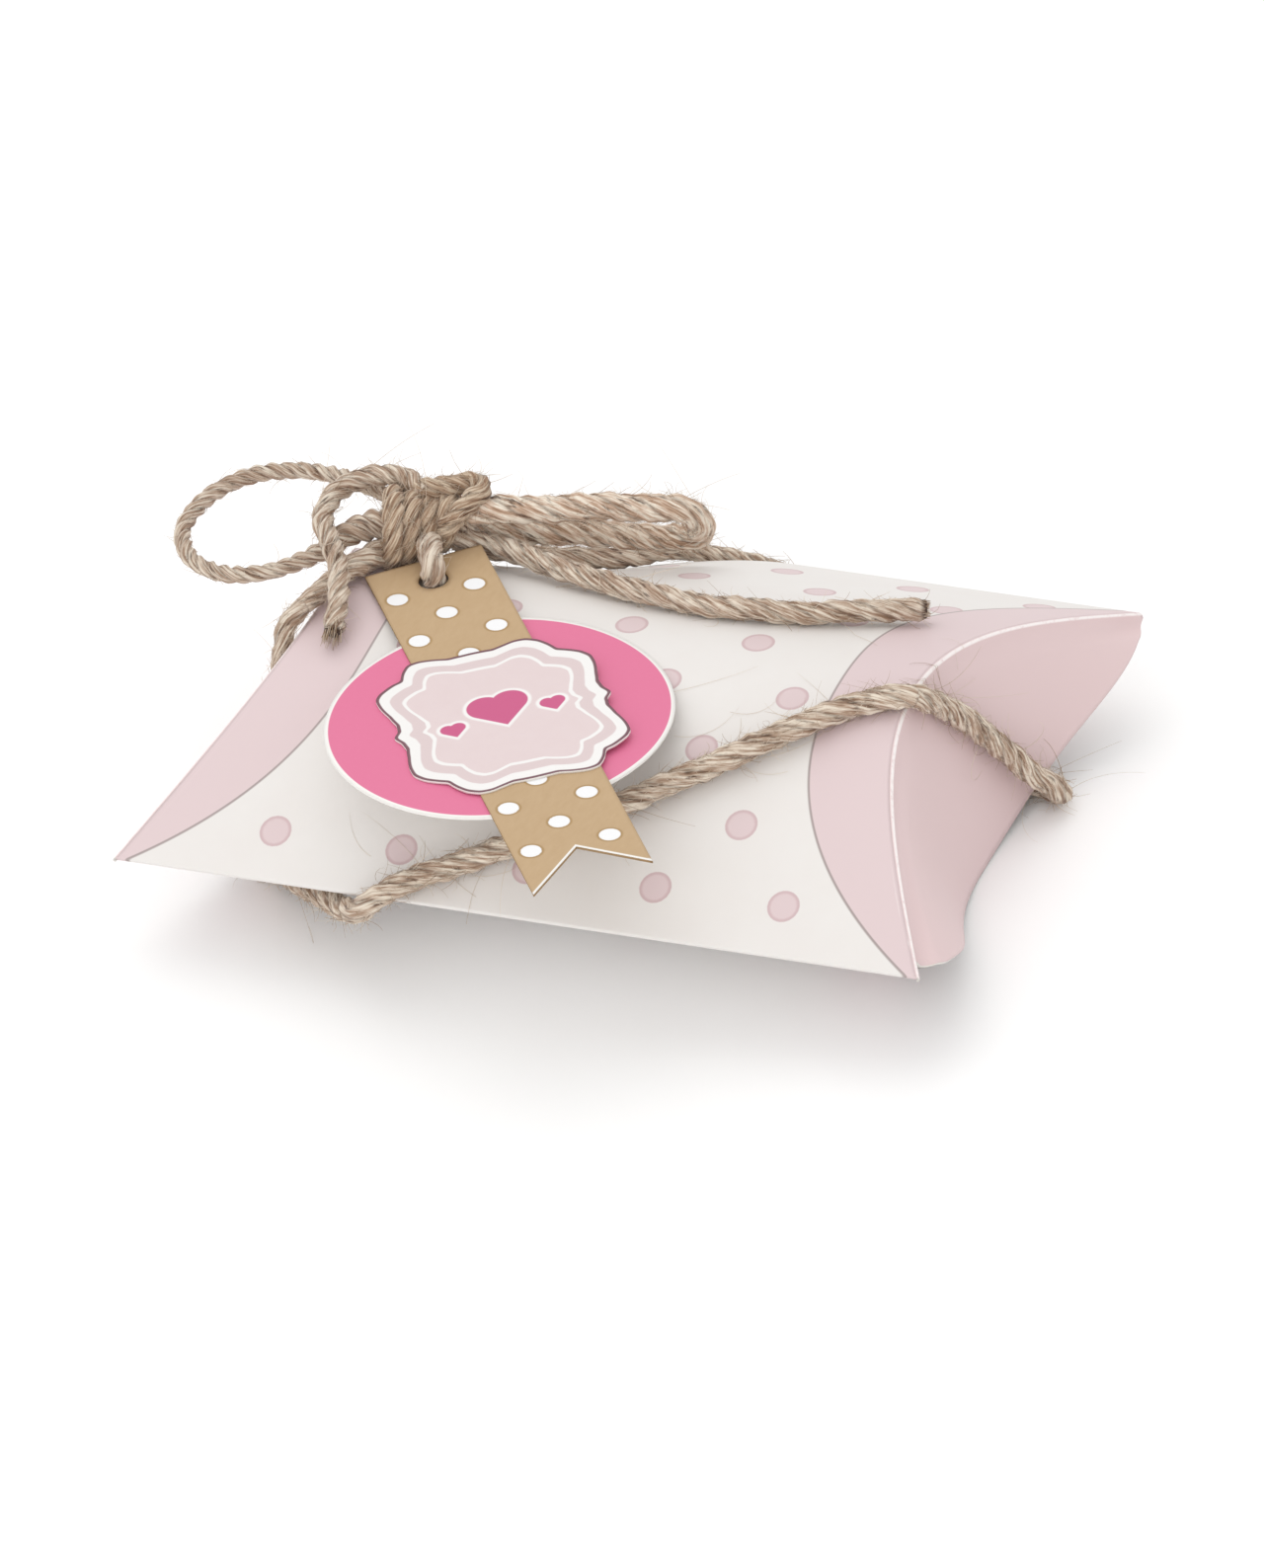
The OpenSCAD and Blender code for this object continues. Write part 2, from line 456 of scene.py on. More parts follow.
@dataclass(frozen=True)
class JuteFinish:
    """Spun jute: dull bast fibres lying along the twine in straw-pale and brown streaks, with painted shade
    in the grooves between plies and the gaps between fibres.

    The attribute "fibre" holds millimetres along and around the twine, so the streaks follow its twist.
    Real fibres are a quarter as wide as the streaks drawn here, which would not show.
    """

    name: str
    pale: str = "#E4D8C7"
    mid: str = "#B29985"
    brown: str = "#876B56"
    dark: str = "#49352A"
    # Width and length of the fibre streaks and of the gaps between fibres, where painted shade is drawn
    streak: Span = (0.36, 4.0)
    gap: Span = (0.55, 2.6)
    pale_ramp: Span = (0.45, 0.6)
    brown_ramp: Span = (0.46, 0.34)
    brown_most: float = 0.9
    gap_shade_ramp: Span = (0.56, 0.7)
    gap_shade_most: float = 0.85
    groove_shade_ramp: Span = (0.5, 1.45)
    cut_ramp: Span = (1.2, 0.1)
    surface: Surface = Surface(0.85, 0.15, 1.0, 0.25, 0.2)

    def build(self) -> Material:
        """Build the jute's material.

        Returns:
            The material.
        """
        material, tree = start_material(self.name)
        coords = add_node(tree, "ShaderNodeAttribute", attribute_name="fibre")
        noises = []
        for wide, length in (self.streak, self.gap):
            mapped = add_node(
                tree, "ShaderNodeMapping",
                {"Vector": coords.outputs["Vector"], "Scale": (1 / length, 1 / wide, 1 / wide)},
            )
            noise = add_node(
                tree, "ShaderNodeTexNoise",
                {"Vector": mapped.outputs["Vector"], "Scale": 1.0, "Detail": 4,
                 "Roughness": GRAIN_ROUGHNESS},
            )
            noises.append(noise.outputs["Fac"])
        streaks, gaps = noises
        colour = stack_colours(
            tree, self.mid,
            (self.pale, mask(tree, streaks, self.pale_ramp, soft=False)),
            (self.brown, mask(tree, streaks, self.brown_ramp, self.brown_most, soft=False)),
            # painted shade in the gaps between fibres and in the grooves between plies; below it, darker
            # towards the cut end
            (self.dark, mask(tree, gaps, self.gap_shade_ramp, self.gap_shade_most, soft=False)),
            (self.dark, mask(tree, "depth", self.groove_shade_ramp)),
            (self.dark, mask(tree, "end_gap", self.cut_ramp)),
        )
        end_material(tree, colour, self.surface, streaks)
        return material


@dataclass(frozen=True)
class LooseFibreFinish:
    """Single jute fibres standing off the twine: thin, pale and faintly glossy."""

    name: str
    pale: str = "#E6D8C6"
    dark: str = "#A08468"
    surface: Surface = Surface(0.6, 0.3)

    def build(self) -> Material:
        """Build the loose fibres' material.

        Returns:
            The material.
        """
        material, tree = start_material(self.name)
        colour = stack_colours(tree, self.dark, (self.pale, mask(tree, "tint", (0.0, 1.0))))
        end_material(tree, colour, self.surface)
        return material


@dataclass(frozen=True)
class FloorFinish:
    """Studio paper sweep: plain, dull white with hardly any mottling."""

    name: str
    colour: str = "#FFFFFF"
    shade: str = "#FDFDFD"
    mottle_size: float = 60.0
    surface: Surface = Surface(0.9, 0.1)

    def build(self) -> Material:
        """Build the floor's material.

        Returns:
            The material.
        """
        material, tree = start_material(self.name)
        colour = stack_colours(tree, self.colour, (self.shade, grain(tree, self.mottle_size, 2)))
        end_material(tree, colour, self.surface)
        return material


def make_piece(
    name: str, points: Array, faces: Faces, materials: list[Material],
    values: dict[str, Array] | None = None,
) -> Piece:
    """Make a smooth-shaded mesh object from points in millimetres.

    Args:
        name: Name of the piece.
        points: One row per vertex.
        faces: Vertex numbers of each face.
        materials: Materials in slot order.
        values: Attribute name to one number, or one row of three, per vertex.

    Returns:
        The new object, linked to the scene.
    """
    mesh = bpy.data.meshes.new(name)
    mesh.from_pydata((points * MM).tolist(), [], faces)
    for key, value in (values or {}).items():
        kind, slot = ("FLOAT", "value") if value.ndim == 1 else ("FLOAT_VECTOR", "vector")
        layer = mesh.attributes.new(key, kind, "POINT")
        layer.data.foreach_set(slot, value.astype(np.float32).ravel())
    for material in materials:
        mesh.materials.append(material)
    mesh.polygons.foreach_set("use_smooth", [True] * len(mesh.polygons))
    mesh.update()
    obj = bpy.data.objects.new(name, mesh)
    bpy.context.scene.collection.objects.link(obj)
    LOG.info("%s made", name)
    return obj


def carry(piece: Piece, body: str, bend: Bend | None = None) -> None:
    """Hang a piece on its body, or, where it has a bend, bake its place into its mesh and leave it unhung.

    Args:
        piece: The piece.
        body: Its body.
        bend: Ends in metres of the stretch that bends, if any.
    """
    if bend is None:
        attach(piece, body)
    else:
        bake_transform(piece)


def finish_card(
    obj: Piece, thickness: float, node: str, body: str, bend: Bend | None = None
) -> None:
    """Give a sheet its card thickness, hang it on its body unless it has a bend, and hide the CAD node that
    it stands for.

    Args:
        obj: Sheet with its printed face outwards and uncoated card in its second material slot.
        thickness: Card thickness.
        node: CAD node that it stands for.
        body: Body that carries it.
        bend: Ends in metres of the stretch that bends between the box and the body, if any.
    """
    solid = obj.modifiers.new("card_thickness", "SOLIDIFY")
    solid.thickness = thickness * MM
    solid.offset = -1
    solid.use_even_offset = True
    solid.material_offset = 1
    solid.material_offset_rim = 1
    carry(obj, body, bend)
    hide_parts(node)


def grid_faces(rows: int, columns: int, closed: bool = False, flip: bool = False) -> Faces:
    """Faces of a grid of vertices stored row by row.

    Args:
        rows: Number of rows.
        columns: Vertices in a row.
        closed: Whether the last column joins the first.
        flip: Whether the faces look the other way.

    Returns:
        Vertex numbers of each quad.
    """
    faces = []
    last = columns if closed else columns - 1
    for i in range(rows - 1):
        for k in range(last):
            a = i * columns + k
            b = i * columns + (k + 1) % columns
            quad = (a, b, b + columns, a + columns)
            faces.append(quad[::-1] if flip else quad)
    return faces


def fan_faces(rings: int, spokes: int) -> Faces:
    """Faces of a round sheet stored ring by ring from the middle, looking up."""
    return grid_faces(rings, spokes, closed=True, flip=True) + [tuple(range(spokes))]


def smooth_step(value: Array, low: float, high: float) -> Array:
    """Ramp from 0 at low to 1 at high with level ends."""
    t = np.clip((value - low) / (high - low), 0, 1)
    return t * t * (3 - 2 * t)


def unit(vector: Array) -> Array:
    """The vector at length 1."""
    return vector / np.linalg.norm(vector)


def dot_distance(x: Array, y: Array, step_x: float, step_y: float) -> Array:
    """Distance to the middle of the nearest of staggered dots, one of which lies at 0, 0.

    Args:
        x: Places along the rows.
        y: Places across the rows.
        step_x: Distance of the dots in a row.
        step_y: Distance of rows that line up, with a staggered row halfway.

    Returns:
        The distances.
    """
    best = np.full(x.shape, np.inf)
    for shift in (0.0, 0.5):
        u, v = x / step_x - shift, y / step_y - shift
        best = np.minimum(best, np.hypot((u - np.round(u)) * step_x, (v - np.round(v)) * step_y))
    return best


@dataclass
class BoxForm:
    """Sizes and bent shape of the pillow box.

    The panels follow a cosine between their creases, as elastic card does, and each end fold lies where
    a plane at 45 degrees cuts the panel, so a flap folded over it stands upright.
    """

    length: float = 125.0
    width: float = 88.0
    height: float = 32.0
    settle: float = 0.5
    card: float = 0.5
    crease_radius: float = 0.4
    fold_radius: float = 0.6
    bend_reach: float = 6.0
    arc_steps: int = 801
    corner_droop: float = 8.5
    droop_x: Span = (8.0, -40.0)
    droop_from_y: float = 12.0

    @property
    def half_l(self) -> float:
        """Half of the length."""
        return self.length / 2

    @property
    def half_w(self) -> float:
        """Half of the width."""
        return self.width / 2

    @property
    def half_h(self) -> float:
        """Half of the full height."""
        return self.height / 2

    @property
    def crease_z(self) -> float:
        """Height of the side creases above the table."""
        return self.half_h - self.settle

    @property
    def fold_apex(self) -> float:
        """Distance of the end folds from the middle, on the crown."""
        return self.half_l - self.half_h

    def rise(self, y: Array) -> Array:
        """Height of the top panel over the creases at a place across the box."""
        return self.half_h * np.cos(np.pi * np.clip(y, -self.half_w, self.half_w) / self.width)

    def arc(self, y: Array) -> Array:
        """Length of card from the front crease to a place across the box.

        Args:
            y: Places across the box.

        Returns:
            The lengths.
        """
        steps = np.linspace(-self.half_w, self.half_w, self.arc_steps)
        pieces = np.hypot(np.diff(steps), np.diff(self.rise(steps)))
        return np.interp(y, steps, np.concatenate([[0.0], np.cumsum(pieces)]))

    def section(self, rows: int, crease_rows: int) -> tuple[Array, Array]:
        """Section of the top panel, rounded over each side crease.

        Args:
            rows: Points between the two roundings.
            crease_rows: Points of each rounding.

        Returns:
            Places across the box and heights over the creases.
        """
        slope = math.atan(math.pi * self.half_h / self.width)
        centre = self.half_w - self.crease_radius / math.sin(slope)
        turn = np.linspace(0, math.pi / 2 - slope, crease_rows, endpoint=False)
        nose_y = centre + self.crease_radius * np.cos(turn)
        nose_z = self.crease_radius * np.sin(turn)
        meet = centre + self.crease_radius * math.sin(slope)
        between = np.linspace(-meet, meet, rows)
        y = np.concatenate([-nose_y, between, nose_y[::-1]])
        z = np.concatenate([nose_z, self.rise(between), nose_z[::-1]])
        return y, z

    def droop(self, points: Array) -> Array:
        """Lower the back left corner of the box, which the bow presses down.

        Args:
            points: One row of three per point of the box.

        Returns:
            The lowered points.
        """
        share = smooth_step(points[:, 0], *self.droop_x)
        share = share * smooth_step(points[:, 1], self.droop_from_y, self.half_w)
        height = np.maximum(points[:, 2] - self.corner_droop * share, 0)
        return np.column_stack([points[:, :2], height])

    def fold_start(self, side: Side, layer: Layer = Layer.TOP) -> Vector:
        """Apex of an end fold, on the crown or on the table."""
        crown = self.crease_z + self.half_h
        return Vector((side.value * self.fold_apex, 0, crown if layer is Layer.TOP else 0.0))

    def fold_bend(self, side: Side, layer: Layer = Layer.TOP) -> tuple[Vector, Vector]:
        """Ends in metres of the stretch that bends when an end flap swings.

        Args:
            side: End of the box.
            layer: Half of the box whose fold it is.

        Returns:
            Where the bend starts and where it ends.
        """
        start = self.fold_start(side, layer)
        inwards = Vector((-side.value, 0, -layer.value)).normalized()
        return start * MM, (start + inwards * self.bend_reach) * MM


@dataclass
class PrintPattern:
    """Printed pattern of the box: staggered dots and a plain crescent at each end."""

    pitch: float = 19.6
    row_step: float = 11.3
    first_x: float = -39.0
    first_arc: float = 8.0
    dot_radius: float = 2.3
    crescent_edge: float = 1.65
    crescent_depth: float = 25.7
    crescent_power: float = 3.0

    def dot_gap(self, x: Array, arc: Array) -> Array:
        """Distance outside the nearest dot, for places along the box and lengths of card across it."""
        middle = dot_distance(x - self.first_x, arc - self.first_arc, self.pitch, 2 * self.row_step)
        return middle - self.dot_radius

    def crescent(self, form: BoxForm, x: Array, y: Array) -> Array:
        """Distance inside the end crescents, negative on the dotted ground.

        Args:
            form: The box.
            x: Places along the box.
            y: Places across the box.

        Returns:
            The distances.
        """
        share, power = np.abs(y) / form.half_w, self.crescent_power
        depth = self.crescent_edge + self.crescent_depth * (1 - share ** power)
        slope = self.crescent_depth * power * share ** (power - 1) / form.half_w
        return (np.abs(x) - (form.half_l - depth)) / np.hypot(1, slope)


@dataclass
class Sleeve:
    """The two bulged panels between the end folds, glued along the back crease."""

    form: BoxForm
    pattern: PrintPattern
    board: list[Material]
    columns: int = 170
    rows: int = 131
    crease_rows: int = 5
    # Hand-made waviness of the card: height, and lengths along and across of two crossing waves
    sway: float = 0.12
    long_wave: Span = (11.0, 17.0)
    short_wave: Span = (7.0, 9.0)
    wave_shift: float = 1.3
    # Cracked ink and painted highlight at the folds: how fast they fade off a crease, and the painted light
    # line of the score ridge beside the right fold
    crease_fade: float = 1.6
    score_inset: float = 1.1
    score_from: float = 0.8
    score_faint: float = 0.15
    score_loss: float = 0.4
    score_fade: Span = (-36.0, -16.0)
    seam_w: float = 12.0
    seam_clear: float = 2.2
    seam_sink: float = 0.62
    seam_grid: tuple[int, int] = (16, 90)

    def panel(self, layer: Layer) -> None:
        """Build one panel with its printed pattern.

        Args:
            layer: Half of the box that it spans.
        """
        form = self.form
        across, height = form.section(self.rows, self.crease_rows)
        y, share = np.meshgrid(across, np.linspace(-1, 1, self.columns), indexing="ij")
        rise = np.repeat(height[:, None], self.columns, axis=1)
        fold = form.half_l - rise
        x = share * (fold - form.fold_radius)
        waves = np.sin(x / self.long_wave[0] + y / self.long_wave[1])
        waves = waves + np.sin(x / self.short_wave[0] - y / self.short_wave[1] + self.wave_shift)
        bent = rise + 0.5 * self.sway * waves * np.cos(np.pi * y / form.width)
        if layer is Layer.BOTTOM:
            bent = np.minimum(bent, form.crease_z)
        points = np.stack([x, y, form.crease_z + layer.value * bent], axis=-1).reshape(-1, 3)
        inset = self.score_inset * smooth_step(y, -form.half_w, -self.score_from * form.half_w)
        loss = self.score_faint + self.score_loss * smooth_step(y, *self.score_fade)
        score = np.abs(fold - inset - x) + loss
        crease_gap = self.crease_fade * (form.half_w - np.abs(y))
        # distance to the creases, folds and score, where cracked ink and a painted highlight are drawn
        fold_gap = np.minimum(np.minimum(crease_gap, fold - np.abs(x)), np.where(x > 0, score, FAR))
        values = {
            "dot_gap": self.pattern.dot_gap(x, form.arc(y)).ravel(),
            "crescent": self.pattern.crescent(form, x, y).ravel(),
            "fold_gap": fold_gap.ravel(),
        }
        faces = grid_faces(len(across), self.columns, flip=layer is Layer.BOTTOM)
        obj = make_piece(f"{layer.panel}_sleeve_panel", form.droop(points), faces, self.board, values)
        finish_card(obj, form.card, f"{layer.panel}_panel", "box")

    def seam(self) -> None:
        """Build the glue tab inside the top panel, along the back crease."""
        form, (rows, columns) = self.form, self.seam_grid
        across = np.linspace(form.half_w - self.seam_w, form.half_w - self.seam_clear, rows)
        along = np.linspace(-form.fold_apex, form.fold_apex, columns)
        y, x = np.meshgrid(across, along, indexing="ij")
        height = form.crease_z + form.rise(y) - self.seam_sink
        points = form.droop(np.stack([x, y, height], axis=-1).reshape(-1, 3))
        obj = make_piece("seam_glue_tab", points, grid_faces(rows, columns), [self.board[1]] * 2)
        finish_card(obj, form.card, "seam_tab", "box")


@dataclass
class Flap:
    """Curved flaps of one end, each from its fold to its free edge.

    Lean and flare are degrees out of the upright: in the middle, and more towards each tip.
    """

    form: BoxForm
    side: Side
    board: list[Material]
    lean: float
    front_flare: float
    back_flare: float
    front_tip: float = 3.0
    front_corner: float = 4.0
    back_tip: float = 0.2
    back_corner: float = 0.8
    front_reach: float = 38.5
    front_power: float = 2.4
    back_power: float = 5.4
    lean_ramp: Span = (-1.0, 5.0)
    short: float = 0.8
    short_from: float = 3.0
    outer_least: float = 0.02
    inner_tip: float = 0.9
    inner_gap: float = 0.8
    inner_drop: float = 1.5
    inner_slope: float = 4.0
    inner_least: float = 0.05
    crack_and_highlight_clear: float = 0.5
    columns: int = 141
    wall_rows: int = 30
    roll_rows: int = 7

    def sheet(
        self, layer: Layer, y: Array, fold: Array, base: Array, depth: Array, lean: Array | float
    ) -> None:
        """Roll a sheet over its fold and run it to its free edge.

        Args:
            layer: Half of the box whose fold carries it.
            y: Places across the box.
            fold: Distance of the fold from the box's middle at each place.
            base: Height of the fold over the creases at each place.
            depth: Length of the flap past its fold at each place.
            lean: Angle out of the upright in radians.
        """
        form, sign, up, r = self.form, self.side.value, layer.value, self.form.fold_radius
        lines, gaps = [], []
        for a in np.linspace(0, math.pi / 2, self.roll_rows):
            lines.append((fold - r + r * math.sin(a), base - up * (r - r * math.cos(a))))
            # the light line of cracked ink and painted highlight runs along the middle of the fold's roll
            gaps.append(np.full(self.columns, abs(a - math.pi / 4) * r))
        for share in np.linspace(0, 1, self.wall_rows)[1:]:
            d = depth * share
            swing = lean * smooth_step(d, *self.lean_ramp)
            lines.append((fold + d * np.sin(swing), base - up * (r + d * np.cos(swing))))
            gaps.append(self.crack_and_highlight_clear + d)
        points = np.concatenate([np.stack([sign * x, y, form.crease_z + z], axis=-1) for x, z in lines])
        far = np.full(len(points), FAR)
        values = {"dot_gap": far, "crescent": far, "fold_gap": np.concatenate(gaps)}
        faces = grid_faces(len(lines), self.columns, flip=sign * up > 0)
        end, kind = self.side.label, layer.flap
        obj = make_piece(f"{end}_{kind}_flap", form.droop(points), faces, self.board, values)
        bend = form.fold_bend(self.side, layer)
        finish_card(obj, form.card, f"{end}_flap_{kind}", f"{end}_{kind}", bend)

    def outer(self) -> None:
        """Build the outer flap, folded down from the top panel, leaning out and flaring at its tips."""
        form = self.form
        reach = form.half_w - form.crease_radius
        y = np.linspace(-reach, reach, self.columns)
        front, aside, rise = y < 0, np.abs(y), form.rise(y)
        tip = np.where(front, self.front_tip, self.back_tip)
        corner = np.where(front, self.front_corner, self.back_corner)
        ends = np.clip((form.half_w - aside - tip) / corner, 0, 1)
        full = 2 * rise - self.short * np.minimum(rise / self.short_from, 1)
        depth = np.maximum(full * np.sqrt(1 - (1 - ends) ** 2), self.outer_least)
        front_share = np.minimum(aside / self.front_reach, 1) ** self.front_power
        back_share = np.minimum(aside / form.half_w, 1) ** self.back_power
        flare = np.where(front, self.front_flare * front_share, self.back_flare * back_share)
        self.sheet(Layer.TOP, y, form.half_l - rise, rise, depth, np.radians(self.lean + flare))

    def inner(self) -> None:
        """Build the inner flap, folded up from the bottom panel behind the outer one."""
        form = self.form
        reach = form.half_w - self.inner_tip
        y = np.linspace(-reach, reach, self.columns)
        rise = form.rise(y)
        bottom = -np.minimum(rise, form.crease_z)
        top = -self.inner_drop * np.minimum(self.inner_slope * rise / form.half_h, 1)
        depth = np.maximum(top - bottom - form.fold_radius, self.inner_least)
        self.sheet(Layer.BOTTOM, y, form.half_l - rise - self.inner_gap, bottom, depth, 0.0)


@dataclass
class Tag:
    """Three card layers on the twine: a round card, a swallow-tailed strip and a lobed label.

    Its own frame runs along the strip from the tied end, across it and up.
    """

    round_card: list[Material]
    strip_card: list[Material]
    label_card: list[Material]
    tied_end: Span = (-34.0, 11.0)
    turn: float = -51.0
    rise: float = 2.2
    base_z: float = 31.5
    layer: float = 0.4
    strip_len: float = 86.5
    strip_w: float = 17.5
    strip_grid: tuple[int, int] = (174, 37)
    notch: float = 8.5
    end_tuck: float = 1.5
    end_bend: float = 1.2
    side_bleed: float = 0.5
    hole_d: float = 4.4
    hole_inset: float = 4.0
    disc_at: Span = (41.3, -0.85)
    disc_d: float = 50.0
    disc_sag: float = 1.6
    disc_lift: float = 1.0
    disc_grid: tuple[int, int] = (40, 180)
    disc_hub: float = 0.02
    dot_along: float = 11.6
    dot_across: float = 11.2
    dot_first: Span = (13.0, -0.5)
    dot_skew: float = 0.12
    dot_lead: float = 0.75
    dot_radius: float = 1.5
    label_at: Span = (42.3, -0.5)
    label_grid: tuple[int, int] = (60, 360)
    label_hub: float = 0.01
    label_rounding: int = 2
    # Direction from the box's +X in degrees and reach in millimetres, over half a turn
    label_outline: tuple[Span, ...] = (
        (1, 19.7), (6, 18.5), (13, 16.6), (21, 15.2), (28, 15.0), (33, 15.8), (39, 15.0), (46, 14.9),
        (54, 15.8), (62, 17.1), (68, 17.9), (74, 17.9), (80, 17.5), (86, 17.1), (91, 17.9), (97, 18.7),
        (103, 19.0), (108, 18.6), (113, 17.7), (118, 17.0), (125, 17.1), (133, 17.3), (140, 17.7),
        (146, 19.1), (151, 20.2), (155, 20.6), (160, 19.8), (165, 18.6), (169, 19.2), (177, 19.8),
    )
    # Width of each printed heart and its place along and across the label
    hearts: tuple[Point, ...] = ((10.5, 0.0, 0.0), (4.4, 1.2, 7.4), (4.4, 1.2, -7.4))

    def place(self, *parts: Array) -> Array:
        """Move points from the tag's own frame to the row frame.

        Args:
            *parts: Their places along, across and up.

        Returns:
            The moved points, one row of three each.
        """
        points = np.stack(parts, axis=-1).reshape(-1, 3)
        turn = Matrix.Rotation(math.radians(self.turn), 4, "Z")
        turn = turn @ Matrix.Rotation(math.radians(-self.rise), 4, "Y")
        matrix = np.array(Matrix.Translation((*self.tied_end, self.base_z)) @ turn)
        return points @ matrix[:3, :3].T + matrix[:3, 3]

    def disc(self) -> None:
        """Build the round card, whose sides have bent down and up a little."""
        rings, spokes = self.disc_grid
        radius = self.disc_d / 2
        angle = np.linspace(0, 2 * np.pi, spokes, endpoint=False)
        r, a = np.meshgrid(radius * np.linspace(self.disc_hub, 1, rings), angle, indexing="ij")
        s, t = self.disc_at[0] + r * np.cos(a), self.disc_at[1] + r * np.sin(a)
        up = self.layer + np.where(t > 0, -self.disc_sag, self.disc_lift) * (t / radius) ** 2
        values = {"edge_gap": (radius - r).ravel(), "ink_gap": np.full(r.size, FAR)}
        faces = fan_faces(rings, spokes)
        obj = make_piece("tag_round_card", self.place(s, t, up), faces, self.round_card, values)
        finish_card(obj, self.layer, "tag_disc", "tag")

    def strip_dots(self, s: Array, t: Array) -> Array:
        """Distance outside the strip's nearest printed dot.

        Args:
            s: Places along the strip.
            t: Places across the strip.

        Returns:
            The distances, negative inside.
        """
        first_s, first_t = self.dot_first
        skewed = np.maximum(s - self.dot_skew * t, first_s - self.dot_lead * self.dot_along)
        middle = dot_distance(skewed - first_s, t - first_t, self.dot_along, self.dot_across)
        return middle - self.dot_radius

    def strip(self) -> None:
        """Build the swallow-tailed strip with its punched hole and printed dots."""
        half, hole_r = self.strip_w / 2, self.hole_d / 2
        rows, columns = self.strip_grid
        share, t = np.meshgrid(np.linspace(0, 1, rows), np.linspace(-half, half, columns), indexing="ij")
        cut = self.strip_len - self.notch * (1 - np.abs(t) / half)
        s = share * (cut + self.end_tuck) - self.end_tuck
        end_gap = (cut - s) * half / math.hypot(half, self.notch)
        values = {
            "edge_gap": np.minimum(half - np.abs(t) + self.side_bleed, end_gap).ravel(),
            "ink_gap": self.strip_dots(s, t).ravel(),
        }
        flat = np.stack([s, t], axis=-1).reshape(-1, 2) - (self.hole_inset, 0)
        in_hole = np.linalg.norm(flat, axis=1) < hole_r
        kept, removed = [], set()
        for face in grid_faces(rows, columns, flip=True):
            if in_hole[list(face)].any():
                removed.update(face)
            else:
                kept.append(face)
        used = sorted({i for face in kept for i in face})
        rim = [i for i in used if i in removed]
        flat[rim] *= hole_r / np.linalg.norm(flat[rim], axis=1)[:, None]
        number = {old: new for new, old in enumerate(used)}
        faces = [tuple(number[i] for i in face) for face in kept]
        s, t = flat[used].T
        points = self.place(s + self.hole_inset, t, np.full(s.shape, 2 * self.layer))
        values = {key: value[used] for key, value in values.items()}
        obj = make_piece("tag_strip_card", points, faces, self.strip_card, values)
        bend = self.place(np.array([-self.end_tuck, self.end_bend]), np.zeros(2), np.zeros(2)) * MM
        finish_card(obj, self.layer, "tag_strip", "tag", (tuple(bend[0]), tuple(bend[1])))

    def motif_gap(self, s: Array, t: Array) -> Array:
        """Distance outside the nearest printed heart, each a square on its corner with two half discs.

        Args:
            s: Places along the tag from the label's middle.
            t: Places across the tag.

        Returns:
            The gaps, negative inside.
        """
        best = np.full(s.shape, np.inf)
        for wide, along, across in self.hearts:
            half = wide / 4
            low, aside = s - along - half, t - across
            u, v = (low + aside) / math.sqrt(2), (low - aside) / math.sqrt(2)
            best = np.minimum(best, np.maximum(np.abs(u + half), np.abs(v + half)) - half)
            for du, dv in ((-2 * half, -half), (-half, -2 * half)):
                best = np.minimum(best, np.hypot(u - du, v - dv) - half)
        return best

    def label(self) -> None:
        """Build the lobed label with its printed bands and motif."""
        rings, spokes = self.label_grid
        degrees = np.arange(spokes) * 360 / spokes
        known = np.array([(a + 180 * k, r) for k in range(-1, 3) for a, r in self.label_outline])
        outline = np.interp(degrees, known[:, 0], known[:, 1])
        for _ in range(self.label_rounding):
            outline = (np.roll(outline, 1) + 2 * outline + np.roll(outline, -1)) / 4
        share, reach = np.meshgrid(np.linspace(self.label_hub, 1, rings), outline, indexing="ij")
        a = np.radians(degrees - self.turn)
        s, t = share * reach * np.cos(a), share * reach * np.sin(a)
        values = {
            "edge_gap": ((1 - share) * reach).ravel(),
            "motif_gap": self.motif_gap(s, t).ravel(),
        }
        points = self.place(self.label_at[0] + s, self.label_at[1] + t, np.full(s.shape, 3 * self.layer))
        obj = make_piece("tag_lobed_label", points, fan_faces(rings, spokes), self.label_card, values)
        finish_card(obj, self.layer, "tag_label", "tag")


@dataclass(frozen=True)
class TwineLook:
    """How one length of twine looks.

    The seed sets its loose fibres, and also its lumps where lay_seed is not given. Wild fibres are the
    long ones on each millimetre, hairiness is a factor on the short ones, and fray is how far fibres
    stand out of a cut end.
    """

    seed: int
    twist: Twist = Twist.EASY
    fullness: float = 1.0
    wild: float = 0.0
    hairiness: float = 1.0
    fray: float = 0.0
    lay_seed: int | None = None


@dataclass
class TwineLine:
    """Middle line of one length of twine with cross directions that don't twist."""

    points: Array
    first: Array
    second: Array
    run: Array

    @property
    def length(self) -> float:
        """Length along the line."""
        return float(self.run[-1])

    def station(self, place: Array) -> int:
        """Number of the point nearest to a place."""
        return int(np.linalg.norm(self.points - place, axis=1).argmin())

    def part(self, start: int, end: int) -> "TwineLine":
        """The stretch between two stations, both kept."""
        cut = slice(start, end + 1)
        return TwineLine(self.points[cut], self.first[cut], self.second[cut], self.run[cut])

    def out(self, station: int, turn: float) -> Array:
        """Direction away from the line at a station, at an angle round it."""
        return math.cos(turn) * self.first[station] + math.sin(turn) * self.second[station]


